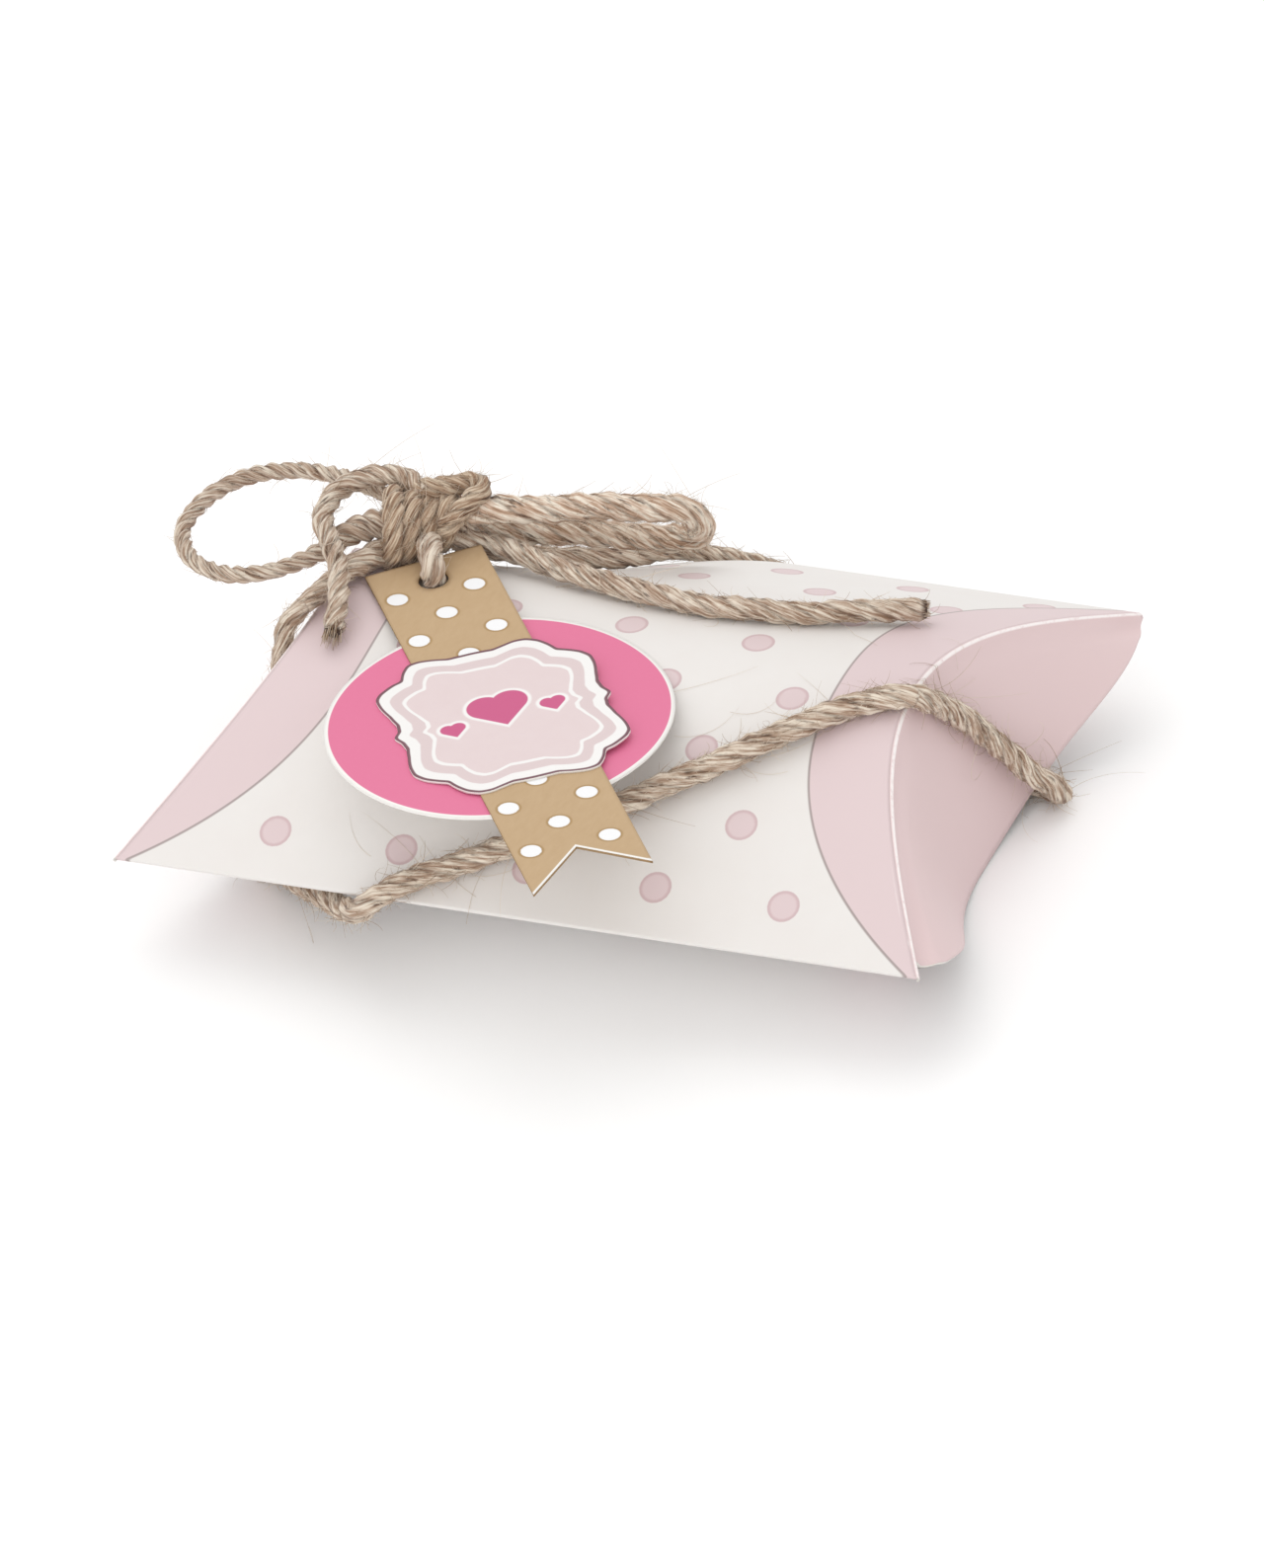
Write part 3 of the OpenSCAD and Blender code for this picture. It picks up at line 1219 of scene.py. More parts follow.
@dataclass
class Twine:
    """Three-ply jute twine laid along given routes, as one skin with a lobe for each ply."""

    form: BoxForm
    diameter: float = 3.0
    plies: int = 3
    lobe_reach: float = 1.45
    ridge: float = 0.06
    ridge_counts: tuple[int, ...] = (9, 11, 14, 17)
    fibre_lag: float = 0.6
    ring: int = 45
    step: float = 0.35
    # Any direction that no stretch of the twine runs along, from which the cross directions start
    first_across: Point = (0.31, 0.17, 0.93)
    curve_steps: int = 24
    least_points: int = 8
    # Sines of no common period stand in for hand-laid plies: height and turn on each millimetre, and for
    # the lumps also the turn from ply to ply
    phase_range: float = 6.28
    slow_wander: Span = (0.25, 0.23)
    quick_wander: Span = (0.12, 0.7)
    long_lump: Point = (0.06, 0.9, 2.1)
    short_lump: Point = (0.05, 2.3, 4.0)
    # Turn of the first fibre ridge on each millimetre, its growth from ridge to ridge, and their fading
    ridge_drift: Span = (0.15, 0.2)
    ridge_fade: float = 0.3
    # Shift of the fibre streaks from one length of twine to the next
    streak_shift: float = 50.0
    worn_ramp: Span = (-0.3, 1.2)
    worn_share: float = 0.7

    def line(self, route: Route) -> TwineLine:
        """Smooth a route into evenly spaced points.

        Args:
            route: Points with z counted from the plane of the side creases.

        Returns:
            The middle line, with z counted from the table.
        """
        p = np.array(route, float) + (0, 0, self.form.crease_z)
        ends = np.concatenate([[2 * p[0] - p[1]], p, [2 * p[-1] - p[-2]]])
        t = np.linspace(0, 1, self.curve_steps, endpoint=False)[:, None]
        dense = []
        for a, b, c, d in zip(ends[:-3], ends[1:-2], ends[2:-1], ends[3:]):
            bend = 2 * a - 5 * b + 4 * c - d
            twist = 3 * b - a - 3 * c + d
            dense.append(b + 0.5 * ((c - a) * t + bend * t ** 2 + twist * t ** 3))
        path = np.concatenate(dense + [p[-1:]])
        run = np.concatenate([[0], np.cumsum(np.linalg.norm(np.diff(path, axis=0), axis=1))])
        even = np.linspace(0, run[-1], max(self.least_points, int(run[-1] / self.step)))
        points = np.stack([np.interp(even, run, path[:, k]) for k in range(3)], axis=1)
        tangent = np.gradient(points, axis=0)
        tangent /= np.linalg.norm(tangent, axis=1)[:, None]
        first = np.zeros_like(points)
        last = np.array(self.first_across)
        for i, axis in enumerate(tangent):
            last = unit(last - (last @ axis) * axis)
            first[i] = last
        return TwineLine(points, first, np.cross(tangent, first), even)

    def build(
        self, name: str, line: TwineLine, jute: Material, look: TwineLook, fullness: float | Array,
        cut_end: float | None = None,
    ) -> Piece:
        """Build the plies along a line.

        Args:
            name: Name of the piece.
            line: Middle line, or a stretch of one.
            jute: The twine's material.
            look: How it is laid.
            fullness: Factor on the thickness, one for the whole line or one for each of its points.
            cut_end: Run at which the twine is cut, if it ends freely.

        Returns:
            The twine.
        """
        seed = look.seed if look.lay_seed is None else look.lay_seed
        phases = np.random.default_rng(SEED + seed).uniform(0, self.phase_range, 4 + len(self.ridge_counts))
        slow, quick, lump, _, *ridge_phases = phases
        run = line.run[:, None]
        around = np.linspace(0, 2 * np.pi, self.ring, endpoint=False)[None, :]
        start = 0.0
        for (high, rate), shift in ((self.slow_wander, slow), (self.quick_wander, quick)):
            start = start + high * np.sin(run[0] * rate + shift)
        turn = 2 * np.pi * run / look.twist.pitch + start
        share = (around - turn) * self.plies / (2 * np.pi)
        ply = np.round(share) % self.plies
        swing = (share - np.round(share)) * 2 * np.pi / self.plies
        lumps = 1.0
        for (high, rate, step), shift in ((self.long_lump, lump), (self.short_lump, 0.0)):
            lumps = lumps + high * np.sin(run * rate + step * ply + shift)
        offset = look.twist.ply_offset
        lobe = offset * np.cos(swing)
        lobe = lobe + np.sqrt((self.lobe_reach - offset) ** 2 - (offset * np.sin(swing)) ** 2)
        deepest, highest = lobe.min(), lobe.max()
        lag = around - self.fibre_lag * turn
        ridges = np.zeros(lobe.shape)
        for k, (count, shift) in enumerate(zip(self.ridge_counts, ridge_phases)):
            drift = (self.ridge_drift[0] + self.ridge_drift[1] * k) * run
            wave = np.sin(count * lag + drift + shift)
            ridges = ridges + self.ridge * wave / (1 + self.ridge_fade * k)
        end_gap = np.full(run.shape, FAR) if cut_end is None else cut_end - run
        worn = self.worn_share + (1 - self.worn_share) * smooth_step(end_gap, *self.worn_ramp)
        full = np.broadcast_to(fullness, len(run))[:, None]
        radius = full * worn * lobe * lumps + ridges
        out = np.cos(around)[..., None] * line.first[:, None, :]
        out = out + np.sin(around)[..., None] * line.second[:, None, :]
        skin = line.points[:, None, :] + radius[..., None] * out
        faces = grid_faces(len(run), self.ring, closed=True)
        faces.append(tuple(reversed(range(self.ring))))
        faces.append(tuple((len(run) - 1) * self.ring + i for i in range(self.ring)))
        along = np.broadcast_to(run + self.streak_shift * seed, lobe.shape)
        fibre = np.stack([along, highest * np.cos(lag), highest * np.sin(lag)], axis=-1)
        values = {
            "fibre": fibre.reshape(-1, 3),
            # depth into the grooves between plies, which the jute darkens as painted shade
            "depth": ((highest - lobe) / (highest - deepest)).ravel(),
            "end_gap": np.broadcast_to(end_gap, lobe.shape).ravel(),
        }
        return make_piece(name, skin.reshape(-1, 3), faces, [jute], values)


@dataclass(frozen=True)
class FibreKind:
    """Loose fibres of one kind: number on a millimetre, lengths, curl in radians and points along each."""

    per_mm: float
    shortest: float
    longest: float | None
    curl: float
    joints: int

    def draw(self, rng: Rng) -> float:
        """Length of one fibre, mostly short where there is no longest one.

        Args:
            rng: Source of the length.

        Returns:
            The length.
        """
        if self.longest is None:
            return self.shortest + rng.exponential(self.shortest)
        return rng.uniform(self.shortest, self.longest)


@dataclass
class FibreMesh:
    """Loose fibres of one piece, kept out of the card and the table."""

    form: BoxForm
    points: list[Array] = field(default_factory=list)
    faces: Faces = field(default_factory=list)
    tints: list[Array] = field(default_factory=list)
    count: int = 0
    clear_end: float = 0.3
    clear_card: float = 0.12
    clear_table: float = 0.1
    tip_share: float = 0.4
    corners: tuple[Span, ...] = ((0, 1), (0.87, -0.5), (-0.87, -0.5))
    # Any direction that few fibres run along, from which their sides are set out
    first_across: Point = (0.3, 0.5, 0.8)

    def add(self, spine: Array, radius: float, tint: float) -> None:
        """Add a thin three-sided fibre along a spine.

        Args:
            spine: Points along the fibre.
            radius: Radius at its root.
            tint: 0 for a brown fibre to 1 for a pale one.
        """
        rise = self.form.rise(spine[:, 1])
        height = spine[:, 2] - self.form.crease_z
        inside = np.abs(spine[:, 0]) < self.form.half_l - rise + self.clear_end
        inside = inside & (np.abs(height) < rise + self.clear_card)
        if inside.any() and height[0] < 0:
            return
        spine[inside, 2] = self.form.crease_z + rise[inside] + self.clear_card
        spine[:, 2] = np.maximum(spine[:, 2], self.clear_table)
        along = unit(spine[-1] - spine[0])
        side = unit(np.cross(along, self.first_across))
        other = np.cross(along, side)
        width = radius * np.linspace(1, self.tip_share, len(spine))[:, None]
        block = np.stack([spine + width * (a * side + b * other) for a, b in self.corners], axis=1)
        last = 3 * (len(spine) - 1)
        faces = grid_faces(len(spine), 3, closed=True) + [(2, 1, 0), (last, last + 1, last + 2)]
        self.faces += [tuple(i + self.count for i in face) for face in faces]
        self.points.append(block.reshape(-1, 3))
        self.tints.append(np.full(3 * len(spine), tint))
        self.count += 3 * len(spine)

    def piece(self, name: str, material: Material) -> Piece:
        """Turn the fibres into one object."""
        values = {"tint": np.concatenate(self.tints)}
        return make_piece(name, np.concatenate(self.points), self.faces, [material], values)


@dataclass
class Fibres:
    """Loose fibres standing off the twine, drawn twice as thick as real ones so that they show."""

    form: BoxForm
    material: Material
    fuzz: FibreKind = FibreKind(9.0, 0.8, None, 0.9, 4)
    hairs: FibreKind = FibreKind(1.4, 2.0, 5.0, 1.4, 8)
    wild: FibreKind = FibreKind(1.0, 7.0, 15.0, 2.6, 18)
    root: float = 1.2
    thick: float = 0.05
    thick_range: Span = (0.6, 1.1)
    # Mean and spread of the angle to the twine's run, and range of the angle off its skin, in radians
    lean: Span = (0.4, 0.3)
    lift: Span = (0.05, 0.5)
    least_bend: float = 0.01
    # Loosened fibres at a cut end: number, points along each, stations from which they start and that give
    # their direction, ranges of their places, ends and thickness, and their tint
    tassel_count: int = 70
    tassel_joints: int = 6
    tassel_back: int = 9
    tassel_axis: int = 4
    tassel_root: Span = (0.5, 0.95)
    tassel_base: float = 2.8
    tassel_reach: Span = (0.2, 1.0)
    tassel_spread: Span = (-0.09, 0.3)
    tassel_thick: Span = (1.2, 2.6)
    tassel_tint: float = 0.7
    # Fibres dropped on the top panel
    stray_joints: int = 12
    stray_half: Span = (3.5, 7.5)
    stray_bow: Span = (-0.5, 0.5)
    stray_lift: float = 0.5
    stray_thick: float = 0.7
    stray_tint: Span = (0.6, 0.4)

    def build(self, name: str, line: TwineLine, look: TwineLook) -> Piece:
        """Build the fibres along one length of twine.

        Args:
            name: Name of the piece.
            line: The twine's middle line, with a cut end last.
            look: How many fibres there are and how far they stand out.

        Returns:
            All fibres as one mesh.
        """
        rng = np.random.default_rng(SEED + FIBRE_SEED + look.seed)
        length = line.run[-1] - line.run[0]
        mesh = FibreMesh(self.form)
        kinds = ((self.fuzz, look.hairiness), (self.hairs, look.hairiness), (self.wild, look.wild))
        for kind, factor in kinds:
            for _ in range(int(length * factor * kind.per_mm)):
                self.strand(mesh, rng, line, self.root * look.fullness, kind)
        if look.fray > 0:
            self.tassel(mesh, rng, line, look)
        return mesh.piece(name, self.material)

    def strand(self, mesh: FibreMesh, rng: Rng, line: TwineLine, root: float, kind: FibreKind) -> None:
        """Add one fibre that follows the twist, lifts off and curls away in an arc.

        Args:
            mesh: Mesh to add to.
            rng: Source of its place and bends.
            line: The twine's middle line.
            root: Distance of its root from the middle line.
            kind: Length and curl of such fibres.
        """
        length = kind.draw(rng)
        i = int(rng.integers(1, len(line.points) - 1))
        axis = unit(line.points[i + 1] - line.points[i - 1])
        out = line.out(i, rng.uniform(0, 2 * math.pi))
        lean = rng.normal(*self.lean)
        along = rng.choice((-1, 1)) * (math.cos(lean) * axis + math.sin(lean) * np.cross(axis, out))
        lift = rng.uniform(*self.lift)
        heading = math.cos(lift) * along + math.sin(lift) * out
        aside = unit(np.cross(heading, rng.normal(size=3)))
        bend = rng.normal(0, kind.curl) + self.least_bend
        t = bend * np.linspace(0, 1, kind.joints)[:, None]
        arc = (heading * np.sin(t) + aside * (1 - np.cos(t))) * length / bend
        thick = self.thick * rng.uniform(*self.thick_range)
        mesh.add(line.points[i] + out * root + arc, thick, rng.random())

    def tassel(self, mesh: FibreMesh, rng: Rng, line: TwineLine, look: TwineLook) -> None:
        """Add the bundle of loosened fibres at a cut end.

        Args:
            mesh: Mesh to add to.
            rng: Source of their places and bends.
            line: The twine's middle line, with the cut end last.
            look: Thickness of the twine and how far the fibres stand out of it.
        """
        axis = unit(line.points[-1] - line.points[-self.tassel_axis])
        t = np.linspace(0, 1, self.tassel_joints)[:, None]
        root = self.root * look.fullness
        for _ in range(self.tassel_count):
            out = line.out(-1, rng.uniform(0, 2 * math.pi))
            start = line.points[-self.tassel_back] + out * root * rng.uniform(*self.tassel_root)
            reach = self.tassel_base + look.fray * rng.uniform(*self.tassel_reach)
            spread = look.fray * rng.uniform(*self.tassel_spread)
            spine = start + axis * reach * t + out * spread * t ** 2
            thick = self.thick * rng.uniform(*self.tassel_thick)
            mesh.add(spine, thick, self.tassel_tint * rng.random())

    def strays(self, name: str, places: list[Span]) -> Piece:
        """Lay single long fibres on the top panel.

        Args:
            name: Name of the piece.
            places: Middle of each fibre along and across the box.

        Returns:
            All stray fibres as one mesh.
        """
        rng = np.random.default_rng(SEED + STRAY_SEED)
        mesh = FibreMesh(self.form)
        t = np.linspace(-1, 1, self.stray_joints)
        for x, y in places:
            heading = rng.uniform(0, math.pi)
            half = rng.uniform(*self.stray_half)
            bow = rng.uniform(*self.stray_bow)
            px = x + half * (np.cos(heading) * t - bow * np.sin(heading) * t ** 2)
            py = y + half * (np.sin(heading) * t + bow * np.cos(heading) * t ** 2)
            lift = mesh.clear_card + self.stray_lift * rng.random() * t ** 2
            spine = np.stack([px, py, self.form.crease_z + self.form.rise(py) + lift], axis=1)
            tint = self.stray_tint[0] + self.stray_tint[1] * rng.random()
            mesh.add(spine, self.stray_thick * self.thick, tint)
        return mesh.piece(name, self.material)


# Routes of the twine, given point by point, with z counted from the plane of the side creases
WRAP_ROUTE: Route = [
    (-33.5, 20.5, 15.5), (-25.5, 29, 10.5), (-18, 38, 5.5), (-14, 42.8, 3), (-11.5, 45.2, 1.6),
    (-8, 46.2, 0), (-2, 46, -1.5), (5.5, 45, -2.9), (13, 41.5, -4.5), (24.5, 35, -8),
    (36.5, 28.5, -11), (44.5, 24, -13), (51, 20.5, -14), (56, 18.5, -14), (58.5, 16.5, -12.7),
    (57.7, 14.8, -9.5), (55.8, 13.2, -7), (53.8, 11, -2), (51.4, 7, 5), (49.5, 2.5, 11.5),
    (48.5, -1.5, 15.5), (47.5, -3.5, 17.5),
    (45.5, -4.5, 18), (41, -6.5, 17.5), (34, -12.5, 17), (27.5, -18, 15.5), (20, -23.5, 13.5),
    (13, -28, 11.5), (4, -33, 9), (-6, -38, 6), (-14, -42, 4), (-19.5, -45, 2),
    (-22, -46, 0), (-24.5, -45, -2), (-29, -41, -4.5), (-36, -35, -7.5), (-43, -28.5, -11),
    (-48, -23.5, -13.5), (-50.5, -21.5, -14), (-53, -20, -13), (-53, -17.5, -9), (-51, -14, -2),
    (-49.5, -10.5, 6), (-49, -8, 13), (-48.5, -6, 16.5), (-47, -3.5, 18), (-45.5, 1.5, 18),
    (-44, 6.5, 18), (-42, 11.5, 17), (-38.5, 16.5, 17),
]
LEFT_LOOP_ROUTE: Route = [
    (-38.5, 19.5, 20.5), (-46, 22, 20.5), (-53, 24.5, 20), (-60.5, 25, 19.5), (-67, 22.5, 19),
    (-71, 17, 18.5), (-72, 10.5, 17.5), (-68.5, 5, 17), (-62.5, 2.5, 17), (-56, 3.5, 17.5),
    (-50, 7.5, 18.5), (-45, 13, 20), (-38.5, 17.5, 19.5),
]
RIGHT_LOOP_ROUTE: Route = [
    (-33.5, 19.5, 20.5), (-26, 21.5, 20.5), (-19, 24, 20), (-13, 26.5, 19.5), (-7, 29, 18.5),
    (-2.5, 31.5, 17), (-1, 34, 13.5), (-2.5, 35.5, 10), (-7, 35, 8.5), (-13, 32, 10.5),
    (-19, 28, 13), (-25.5, 24, 15), (-33.5, 20, 17.5),
]
LEFT_TAIL_ROUTE: Route = [
    (-37, 19.5, 23), (-41, 21.5, 24), (-46, 20.5, 24), (-49.5, 16.5, 23.5), (-49.5, 11.5, 22.5),
    (-46.5, 7, 22), (-43.5, 2.5, 21), (-41.5, -3, 19.5), (-40.5, -8, 17.5),
]
RIGHT_TAIL_ROUTE: Route = [
    (-33.5, 18, 17), (-27, 19.5, 15.5), (-20, 17.5, 15.5), (-10, 14.5, 16), (-1, 12.5, 16.5),
    (8, 11.5, 16.5), (16, 12, 16.5), (24, 13.5, 16), (32, 16.5, 15.5), (40, 20, 14.5),
]
TIE_ROUTE: Route = [(-35, 15.5, 18), (-33.5, 12, 19.5), (-31.5, 8.5, 19), (-31.5, 8, 16.5)]
EAR_ROUTE: Route = [
    (-34.5, 16.5, 17.5), (-32, 16.8, 20.5), (-29.8, 18.8, 22.8), (-28.6, 21.3, 23.6), (-30.2, 22.8, 23.8),
    (-33, 22, 23.6), (-36, 20.6, 23.4), (-38.5, 19.9, 23.3),
]
# Places along and across the box of the fibres that have dropped on it
STRAY_PLACES: list[Span] = [
    (16.8, -4.7), (26.0, -8.9), (33.0, -3.5), (20.2, -13.6), (28.2, -18.9), (32.8, -14.9),
    (-26.6, -36.7), (-20.8, -35.7), (-12.1, -38.9), (-6.8, -40.8), (-1.9, -37.5),
]
# Stretches of the tie in order: piece, end flap that it lies over, and look with the fullness at its start
WRAP_STRETCHES: tuple[tuple[str, Side | None, TwineLook], ...] = (
    ("twine_back", None, TwineLook(0, Twist.SLACK, 1.15, 0.03, lay_seed=1)),
    ("twine_right_end", Side.RIGHT, TwineLook(1, Twist.SLACK, 1.15, 0.8, 1.8, lay_seed=1)),
    ("twine_front", None, TwineLook(2, Twist.SLACK, 1.25, 0.15, 1.6, lay_seed=1)),
    ("twine_left_end", Side.LEFT, TwineLook(3, Twist.SLACK, 1.2, 0.05, lay_seed=1)),
    ("twine_top_left", None, TwineLook(4, Twist.SLACK, 0.95, 0.05, lay_seed=1)),
)


@dataclass
class Bow:
    """All the twine: the diagonal tie round the box, the knot, loops and tails, and the tag's strand."""

    form: BoxForm
    twine: Twine
    fibres: Fibres
    knot_at: Point = (-36.0, 18.5, 18.5)
    knot_radius: float = 3.2
    knot_swell: float = 1.5
    knot_reach: Span = (-6.6, 3.6)
    knot_turns: float = 4.0
    knot_heading: float = 30.0
    knot_points: int = 44
    # Unevenness of the knot's turns, across and along them
    knot_waver: Span = (0.35, 0.5)
    knot_waves: float = 7.0
    knot_shift: float = 1.0
    knot_lift: float = 0.5
    # Route points where the strands over the end flaps start and end
    cuts: tuple[int, ...] = (12, 21, 38, 45)
    wrap_end: float = 1.6
    # Where the twine lies over the back crease it is pulled thinner, over this length
    back_crossing: int = 6
    back_thin: float = 0.12
    back_length: float = 14.0
    # Distances from a loop's end between which it swells, and how far past a fold the bend of a twine over
    # a flap reaches
    swell_span: Span = (18.0, 5.0)
    push_reach: float = 12.0

    def lay(
        self, name: str, node: str, line: TwineLine, look: TwineLook, jute: Material, body: str = "box",
        bend: Bend | None = None, fullness: float | Array | None = None, cut_end: float | None = None,
    ) -> tuple[Piece, Piece]:
        """Build a length of twine with its loose fibres and hang both on their body unless they have a
        bend.

        Args:
            name: Name of the twine's piece.
            node: CAD node that it stands for.
            line: Its middle line.
            look: How it looks.
            jute: Its material.
            body: Body that carries it.
            bend: Ends in metres of the stretch that bends between the box and the body, if any.
            fullness: Factor on its thickness where it differs from the look's.
            cut_end: Run at which it is cut, if it ends freely.

        Returns:
            The twine and its fibres.
        """
        full = look.fullness if fullness is None else fullness
        obj = self.twine.build(name, line, jute, look, full, cut_end)
        hairs = self.fibres.build(f"{name}_fibres", line, look)
        for piece in (obj, hairs):
            carry(piece, body, bend)
        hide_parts(node)
        return obj, hairs

    def wrap(self, jute: Material) -> None:
        """Build the tie round the box, with the strands over the end flaps as pieces of their own.

        Args:
            jute: The twine's material.
        """
        line = self.twine.line(WRAP_ROUTE)
        marks = [line.station(np.array(WRAP_ROUTE[i]) + (0, 0, self.form.crease_z)) for i in self.cuts]
        marks = [0, *marks, len(line.points) - 1]
        crossing = line.station(np.array(WRAP_ROUTE[self.back_crossing]) + (0, 0, self.form.crease_z))
        line.points = self.form.droop(line.points)
        ends = [look.fullness for _, _, look in WRAP_STRETCHES] + [self.wrap_end]
        fullness = np.interp(np.arange(len(line.points)), marks, ends)
        dip = np.exp(-((line.run - line.run[crossing]) / self.back_length) ** 2)
        fullness = fullness * (1 - self.back_thin * dip)
        for (name, side, look), start, end in zip(WRAP_STRETCHES, marks, marks[1:]):
            body, bend = "box", None
            if side is not None:
                body, bend = f"{side.label}_outer", self.form.fold_bend(side)
            full = fullness[start:end + 1]
            self.lay(name, "twine_wrap", line.part(start, end), look, jute, body, bend, full)

    def knot(self, jute: Material) -> None:
        """Build the turns of the knot and the strand that ears out of it and crosses its top.

        Args:
            jute: The twine's material.
        """
        x, y, z = self.knot_at
        across, lengthwise = self.knot_waver
        cos, sin = math.cos(math.radians(self.knot_heading)), math.sin(math.radians(self.knot_heading))
        turns: Route = []
        for share in np.linspace(0, 1, self.knot_points):
            a = math.pi * (1 + 2 * self.knot_turns * share)
            swell = self.knot_swell * (1 - share) ** 2
            r = self.knot_radius + swell + across * math.sin(self.knot_waves * share)
            along = np.interp(share, (0, 1), self.knot_reach)
            along = along + lengthwise * math.sin(a + self.knot_shift)
            aside, up = r * math.sin(a), self.knot_lift * swell + r * math.cos(a)
            turns.append((x + along * cos - aside * sin, y + along * sin + aside * cos, z + up))
        for name, seed, route in (("twine_knot_turns", 20, turns), ("twine_knot_ear", 21, EAR_ROUTE)):
            look = TwineLook(seed, fullness=1.1, wild=0.2, hairiness=1.6)
            self.lay(name, "twine_knot", self.twine.line(route), look, jute)

    def free(
        self, name: str, node: str, route: Route, look: TwineLook, jute: Material, swell: float = 0.0,
        side: Side | None = None,
    ) -> None:
        """Args:
            name: Name of the piece.
            node: CAD node that it stands for.
            route: Points of its route.
            look: How it looks; a loop, which goes back into the knot, has no fray.
            jute: Its material.
            swell: Growth of its thickness where it goes back into the knot.
            side: End flap past whose fold it is given a bend, if any.
        """
        line = self.twine.line(route)
        cut = line.length if look.fray > 0 else None
        growth = swell * smooth_step(line.run, *(line.length - np.array(self.swell_span)))
        body, bend = "box", None
        if side is not None:
            fold = self.form.fold_start(side)
            past = fold + Vector((side.value * self.push_reach, 0, 0))
            body, bend = f"{side.label}_outer", (fold * MM, past * MM)
        obj, hairs = self.lay(name, node, line, look, jute, body, bend, look.fullness + growth, cut)
        LOG.info("%s: %.0f mm of twine", name, line.length)

    def tie(self, jute: Material) -> None:
        """Build the strand from the knot into the tag's hole.

        Args:
            jute: The twine's material.
        """
        line = self.twine.line(TIE_ROUTE)
        bend = (tuple(line.points[0] * MM), tuple(line.points[-1] * MM))
        self.lay("twine_tag_strand", "tag_tie", line, TwineLook(30, fullness=1.25), jute, "tag", bend)

    def strays(self) -> None:
        """Lay the few fibres that have dropped on the top panel."""
        piece = self.fibres.strays("stray_fibres", STRAY_PLACES)
        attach(piece, "box")


@dataclass(frozen=True)
class SoftBox:
    """A square soft box: its place, edge, light output in watts and colour."""

    name: str
    place: Point
    size: float
    watts: float
    tint: str

    def hang(self, aim: Vector) -> None:
        """Hang the soft box.

        Args:
            aim: Place that it faces.
        """
        data = bpy.data.lights.new(self.name, "AREA")
        data.energy = self.watts
        data.size = self.size * MM
        data.color = srgb(self.tint)[:3]
        lamp = bpy.data.objects.new(self.name, data)
        bpy.context.scene.collection.objects.link(lamp)
        lamp.location = Vector(self.place) * MM
        lamp.rotation_mode = "QUATERNION"
        lamp.rotation_quaternion = (aim - Vector(self.place)).to_track_quat("-Z", "Y")


@dataclass
class Studio:
    """Camera at the photograph's viewpoint, pale floor and soft light."""

    form: BoxForm
    azimuth: float = 27.7
    elevation: float = 36.28
    roll: float = 9.0
    distance: float = 2604.0
    image: tuple[int, int] = (1280, 1588)
    focal_px: float = 18452.0
    centre_px: Span = (637.08, 745.26)
    sensor: float = 36.0
    # Nearest and farthest things that the camera sees, in metres
    clip: Span = (0.1, 50.0)
    floor_half: float = 6000.0
    floor_ticks: int = 9
    sky: str = "#FFFFFF"
    sky_strength: float = 0.92
    lamps: tuple[SoftBox, ...] = (
        SoftBox("top_soft_box", (-250, 450, 1200), 1200, 3.6, "#FFFDFA"),
        SoftBox("front_soft_box", (0, -1150, 450), 1200, 3.6, "#FFFEFD"),
    )

    @property
    def middle(self) -> Vector:
        """Place that the camera and the lamps look at."""
        return Vector((0, 0, self.form.crease_z))

    def camera(self) -> None:
        """Place the camera."""
        a, e = math.radians(self.azimuth), math.radians(self.elevation)
        back = Vector((math.sin(a) * math.cos(e), -math.cos(a) * math.cos(e), math.sin(e)))
        data = bpy.data.cameras.new("photo_camera")
        wide, high = self.image
        data.sensor_width = self.sensor
        data.lens = self.focal_px * self.sensor / high
        data.shift_x = (wide / 2 - self.centre_px[0]) / high
        data.shift_y = (self.centre_px[1] - high / 2) / high
        data.clip_start, data.clip_end = self.clip
        camera = bpy.data.objects.new("photo_camera", data)
        bpy.context.scene.collection.objects.link(camera)
        facing = (-back).to_track_quat("-Z", "Y").to_matrix()
        turn = facing @ Matrix.Rotation(math.radians(-self.roll), 3, "Z")
        eye = (self.middle + back * self.distance) * MM
        camera.matrix_world = Matrix.Translation(eye) @ turn.to_4x4()
        bpy.context.scene.camera = camera

    def floor(self) -> None:
        """Lay the studio paper under the box."""
        ticks = np.linspace(-self.floor_half, self.floor_half, self.floor_ticks)
        x, y = np.meshgrid(ticks, ticks, indexing="ij")
        points = np.stack([x, y, np.zeros(x.shape)], axis=-1).reshape(-1, 3)
        faces = grid_faces(self.floor_ticks, self.floor_ticks, flip=True)
        make_piece("studio_floor", points, faces, [FloorFinish("studio_paper").build()])

    def light(self) -> None:
        """Set the plain view transform, the soft sky and the soft boxes."""
        bpy.context.scene.view_settings.view_transform = "Standard"
        world = bpy.data.worlds.new("studio_sky")
        bpy.context.scene.world = world
        world.use_nodes = True
        sky = world.node_tree.nodes["Background"]
        sky.inputs["Color"].default_value = srgb(self.sky)
        sky.inputs["Strength"].default_value = self.sky_strength
        for lamp in self.lamps:
            lamp.hang(self.middle)


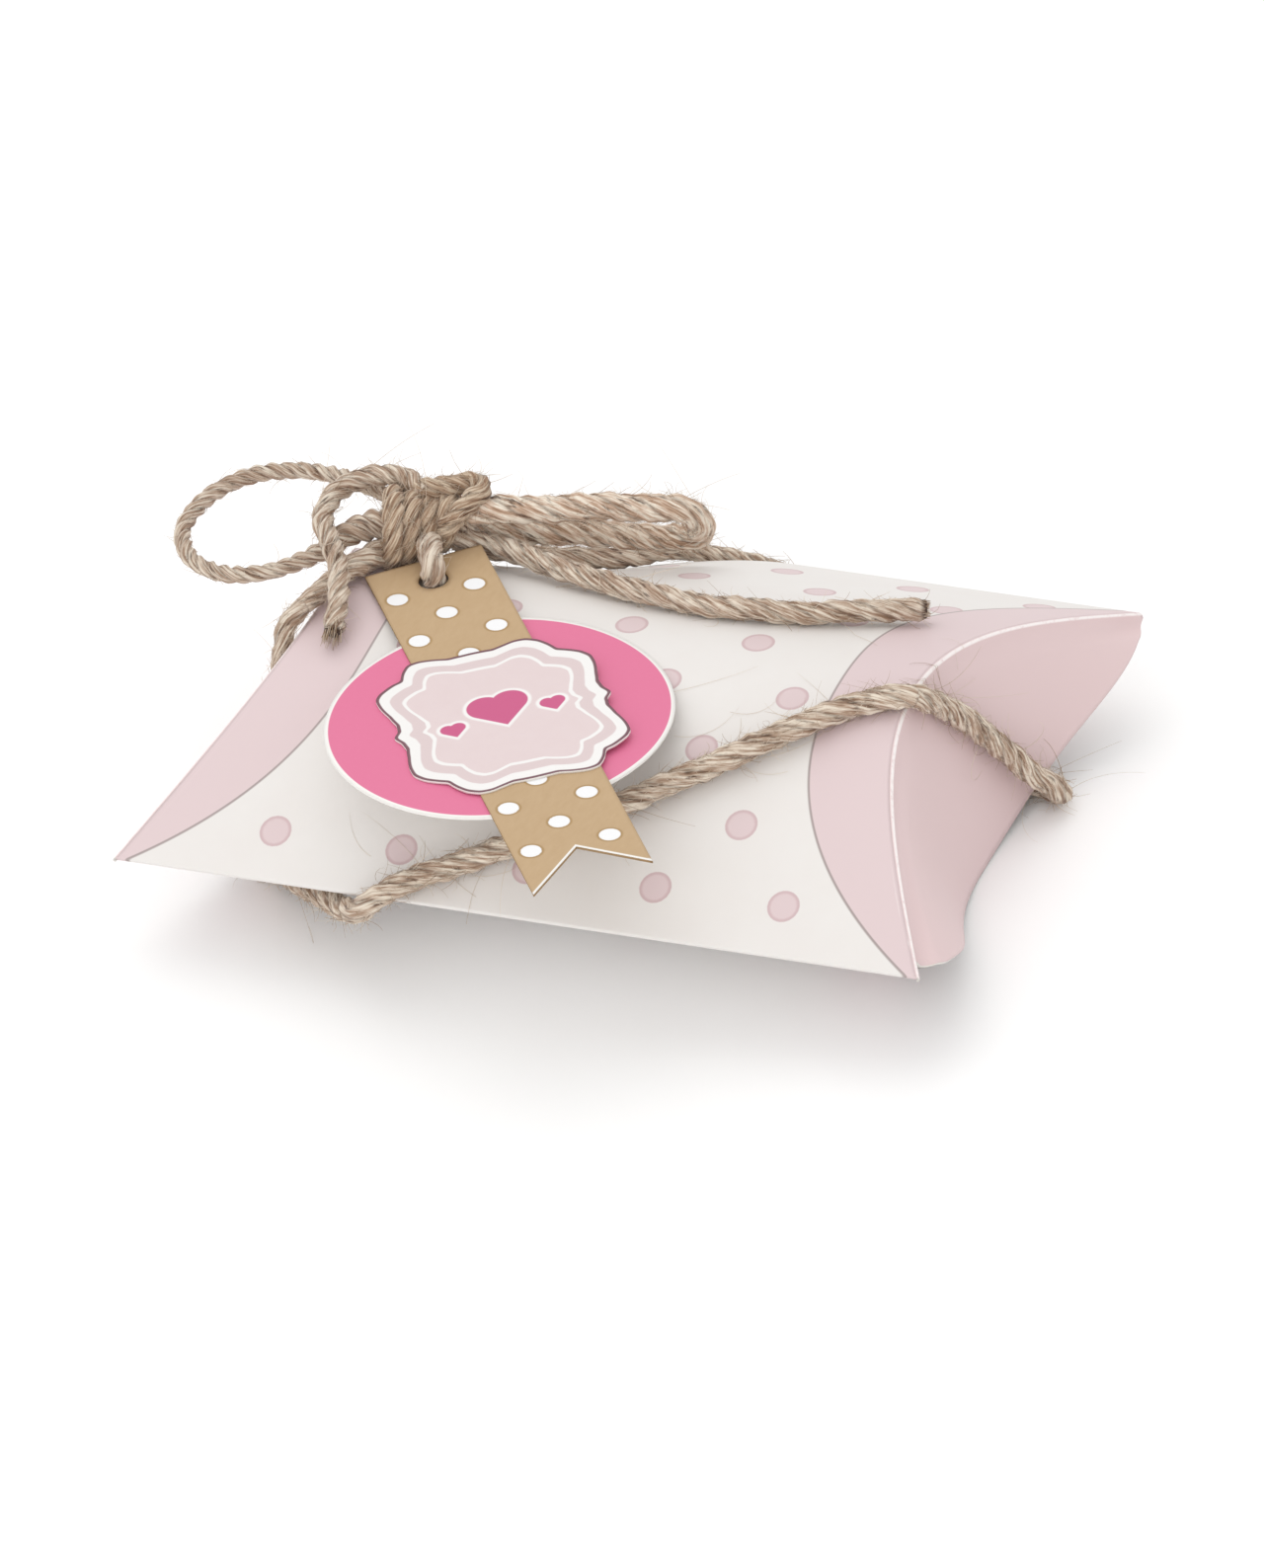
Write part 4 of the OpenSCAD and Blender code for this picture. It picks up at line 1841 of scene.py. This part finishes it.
def tie_bow(form: BoxForm) -> None:
    """Lay all the twine; the knot has a darker copy of the jute as painted shade, and the right loop a
    paler copy as painted light.

    Args:
        form: The box that it ties.
    """
    jute = JuteFinish("spun_jute").build()
    fibres = Fibres(form, LooseFibreFinish("loose_jute_fibre").build())
    # darker copy of the jute for the knot: painted shade of its deep folds
    painted_shade_jute = JuteFinish("painted_shade_spun_jute", pale="#D9C7B0", mid="#A78B73", brown="#7C5D47").build()
    # paler copy of the jute for the right loop: painted light lifting its shaded strands
    pale = JuteFinish("painted_light_spun_jute", pale="#F0E6D6", mid="#C8AC96", brown="#9B7C64").build()
    bow = Bow(form, Twine(form), fibres)
    left_loop = TwineLook(10, Twist.TIGHT, 0.86, hairiness=0.3)
    bow.free("bow_left_loop", "bow_loop_left", LEFT_LOOP_ROUTE, left_loop, jute, 0.7, Side.LEFT)
    right_loop = TwineLook(11, Twist.SLACK, 1.42, 0.15, 2.0)
    bow.free("bow_right_loop", "bow_loop_right", RIGHT_LOOP_ROUTE, right_loop, pale)
    left_tail = TwineLook(12, Twist.EASY, 1.1, 0.2, fray=2.2)
    bow.free("bow_left_tail", "twine_tail_left", LEFT_TAIL_ROUTE, left_tail, jute, side=Side.LEFT)
    right_tail = TwineLook(13, Twist.SLACK, 1.15, 0.1, fray=0.6)
    bow.free("bow_right_tail", "twine_tail_right", RIGHT_TAIL_ROUTE, right_tail, jute)
    bow.wrap(jute)
    bow.knot(painted_shade_jute)
    bow.tie(jute)
    bow.strays()


def fold_box(form: BoxForm) -> None:
    """Build the card box.

    Args:
        form: Its sizes and bent shape.
    """
    printed = BoardFinish("printed_boxboard").build()
    # The flaps' pink is its own copy of the crescents' ink, tuned as painted light for the flaps' other
    # lighting
    pink = BoardFinish("pink_boxboard_painted_light", crescent="#DBC4C4").build()
    plain = PlainBoardFinish("uncoated_boxboard").build()
    sleeve = Sleeve(form, PrintPattern(), [printed, plain])
    sleeve.panel(Layer.TOP)
    sleeve.panel(Layer.BOTTOM)
    sleeve.seam()
    for flap in (
        Flap(form, Side.RIGHT, [pink, plain], 12.0, 38.0, 75.0),
        Flap(form, Side.LEFT, [pink, plain], 4.0, 6.0, 6.0, front_tip=1.0, front_corner=2.5),
    ):
        flap.outer()
        flap.inner()


def layer_tag() -> None:
    """Build the three layers of the tag."""
    core = PlainBoardFinish("tag_card_core", pale="#F2F0ED", dark="#E1DCD6").build()
    pink = TagFinish("pink_printed_card", "#DE769A", "#DC7296", margin_width=0.6).build()
    kraft = TagFinish(
        "kraft_printed_card", "#C3A885", "#B89B76", margin_width=0.4, grain_size=0.9,
        grain_stretch=(1, 0.4, 1), surface=Surface(0.7, 0.35, 0.25),
    ).build()
    # The kraft card's cut edges are drawn darker than its face, partly as painted shade along the strip's
    # sides
    kraft_core_and_shade = PlainBoardFinish("kraft_card_core_and_shade", pale="#A98C68", dark="#876C4C").build()
    tag = Tag([pink, core], [kraft, kraft_core_and_shade], [LabelFinish("label_printed_card").build(), core])
    tag.disc()
    tag.strip()
    tag.label()


def main() -> None:
    """Build every sub-assembly in order."""
    logging.basicConfig(level=logging.INFO, format="%(name)s: %(message)s")
    form = BoxForm()
    studio = Studio(form)
    studio.camera()
    tie_bow(form)
    fold_box(form)
    layer_tag()
    studio.floor()
    studio.light()


if __name__ == "__main__":
    main()
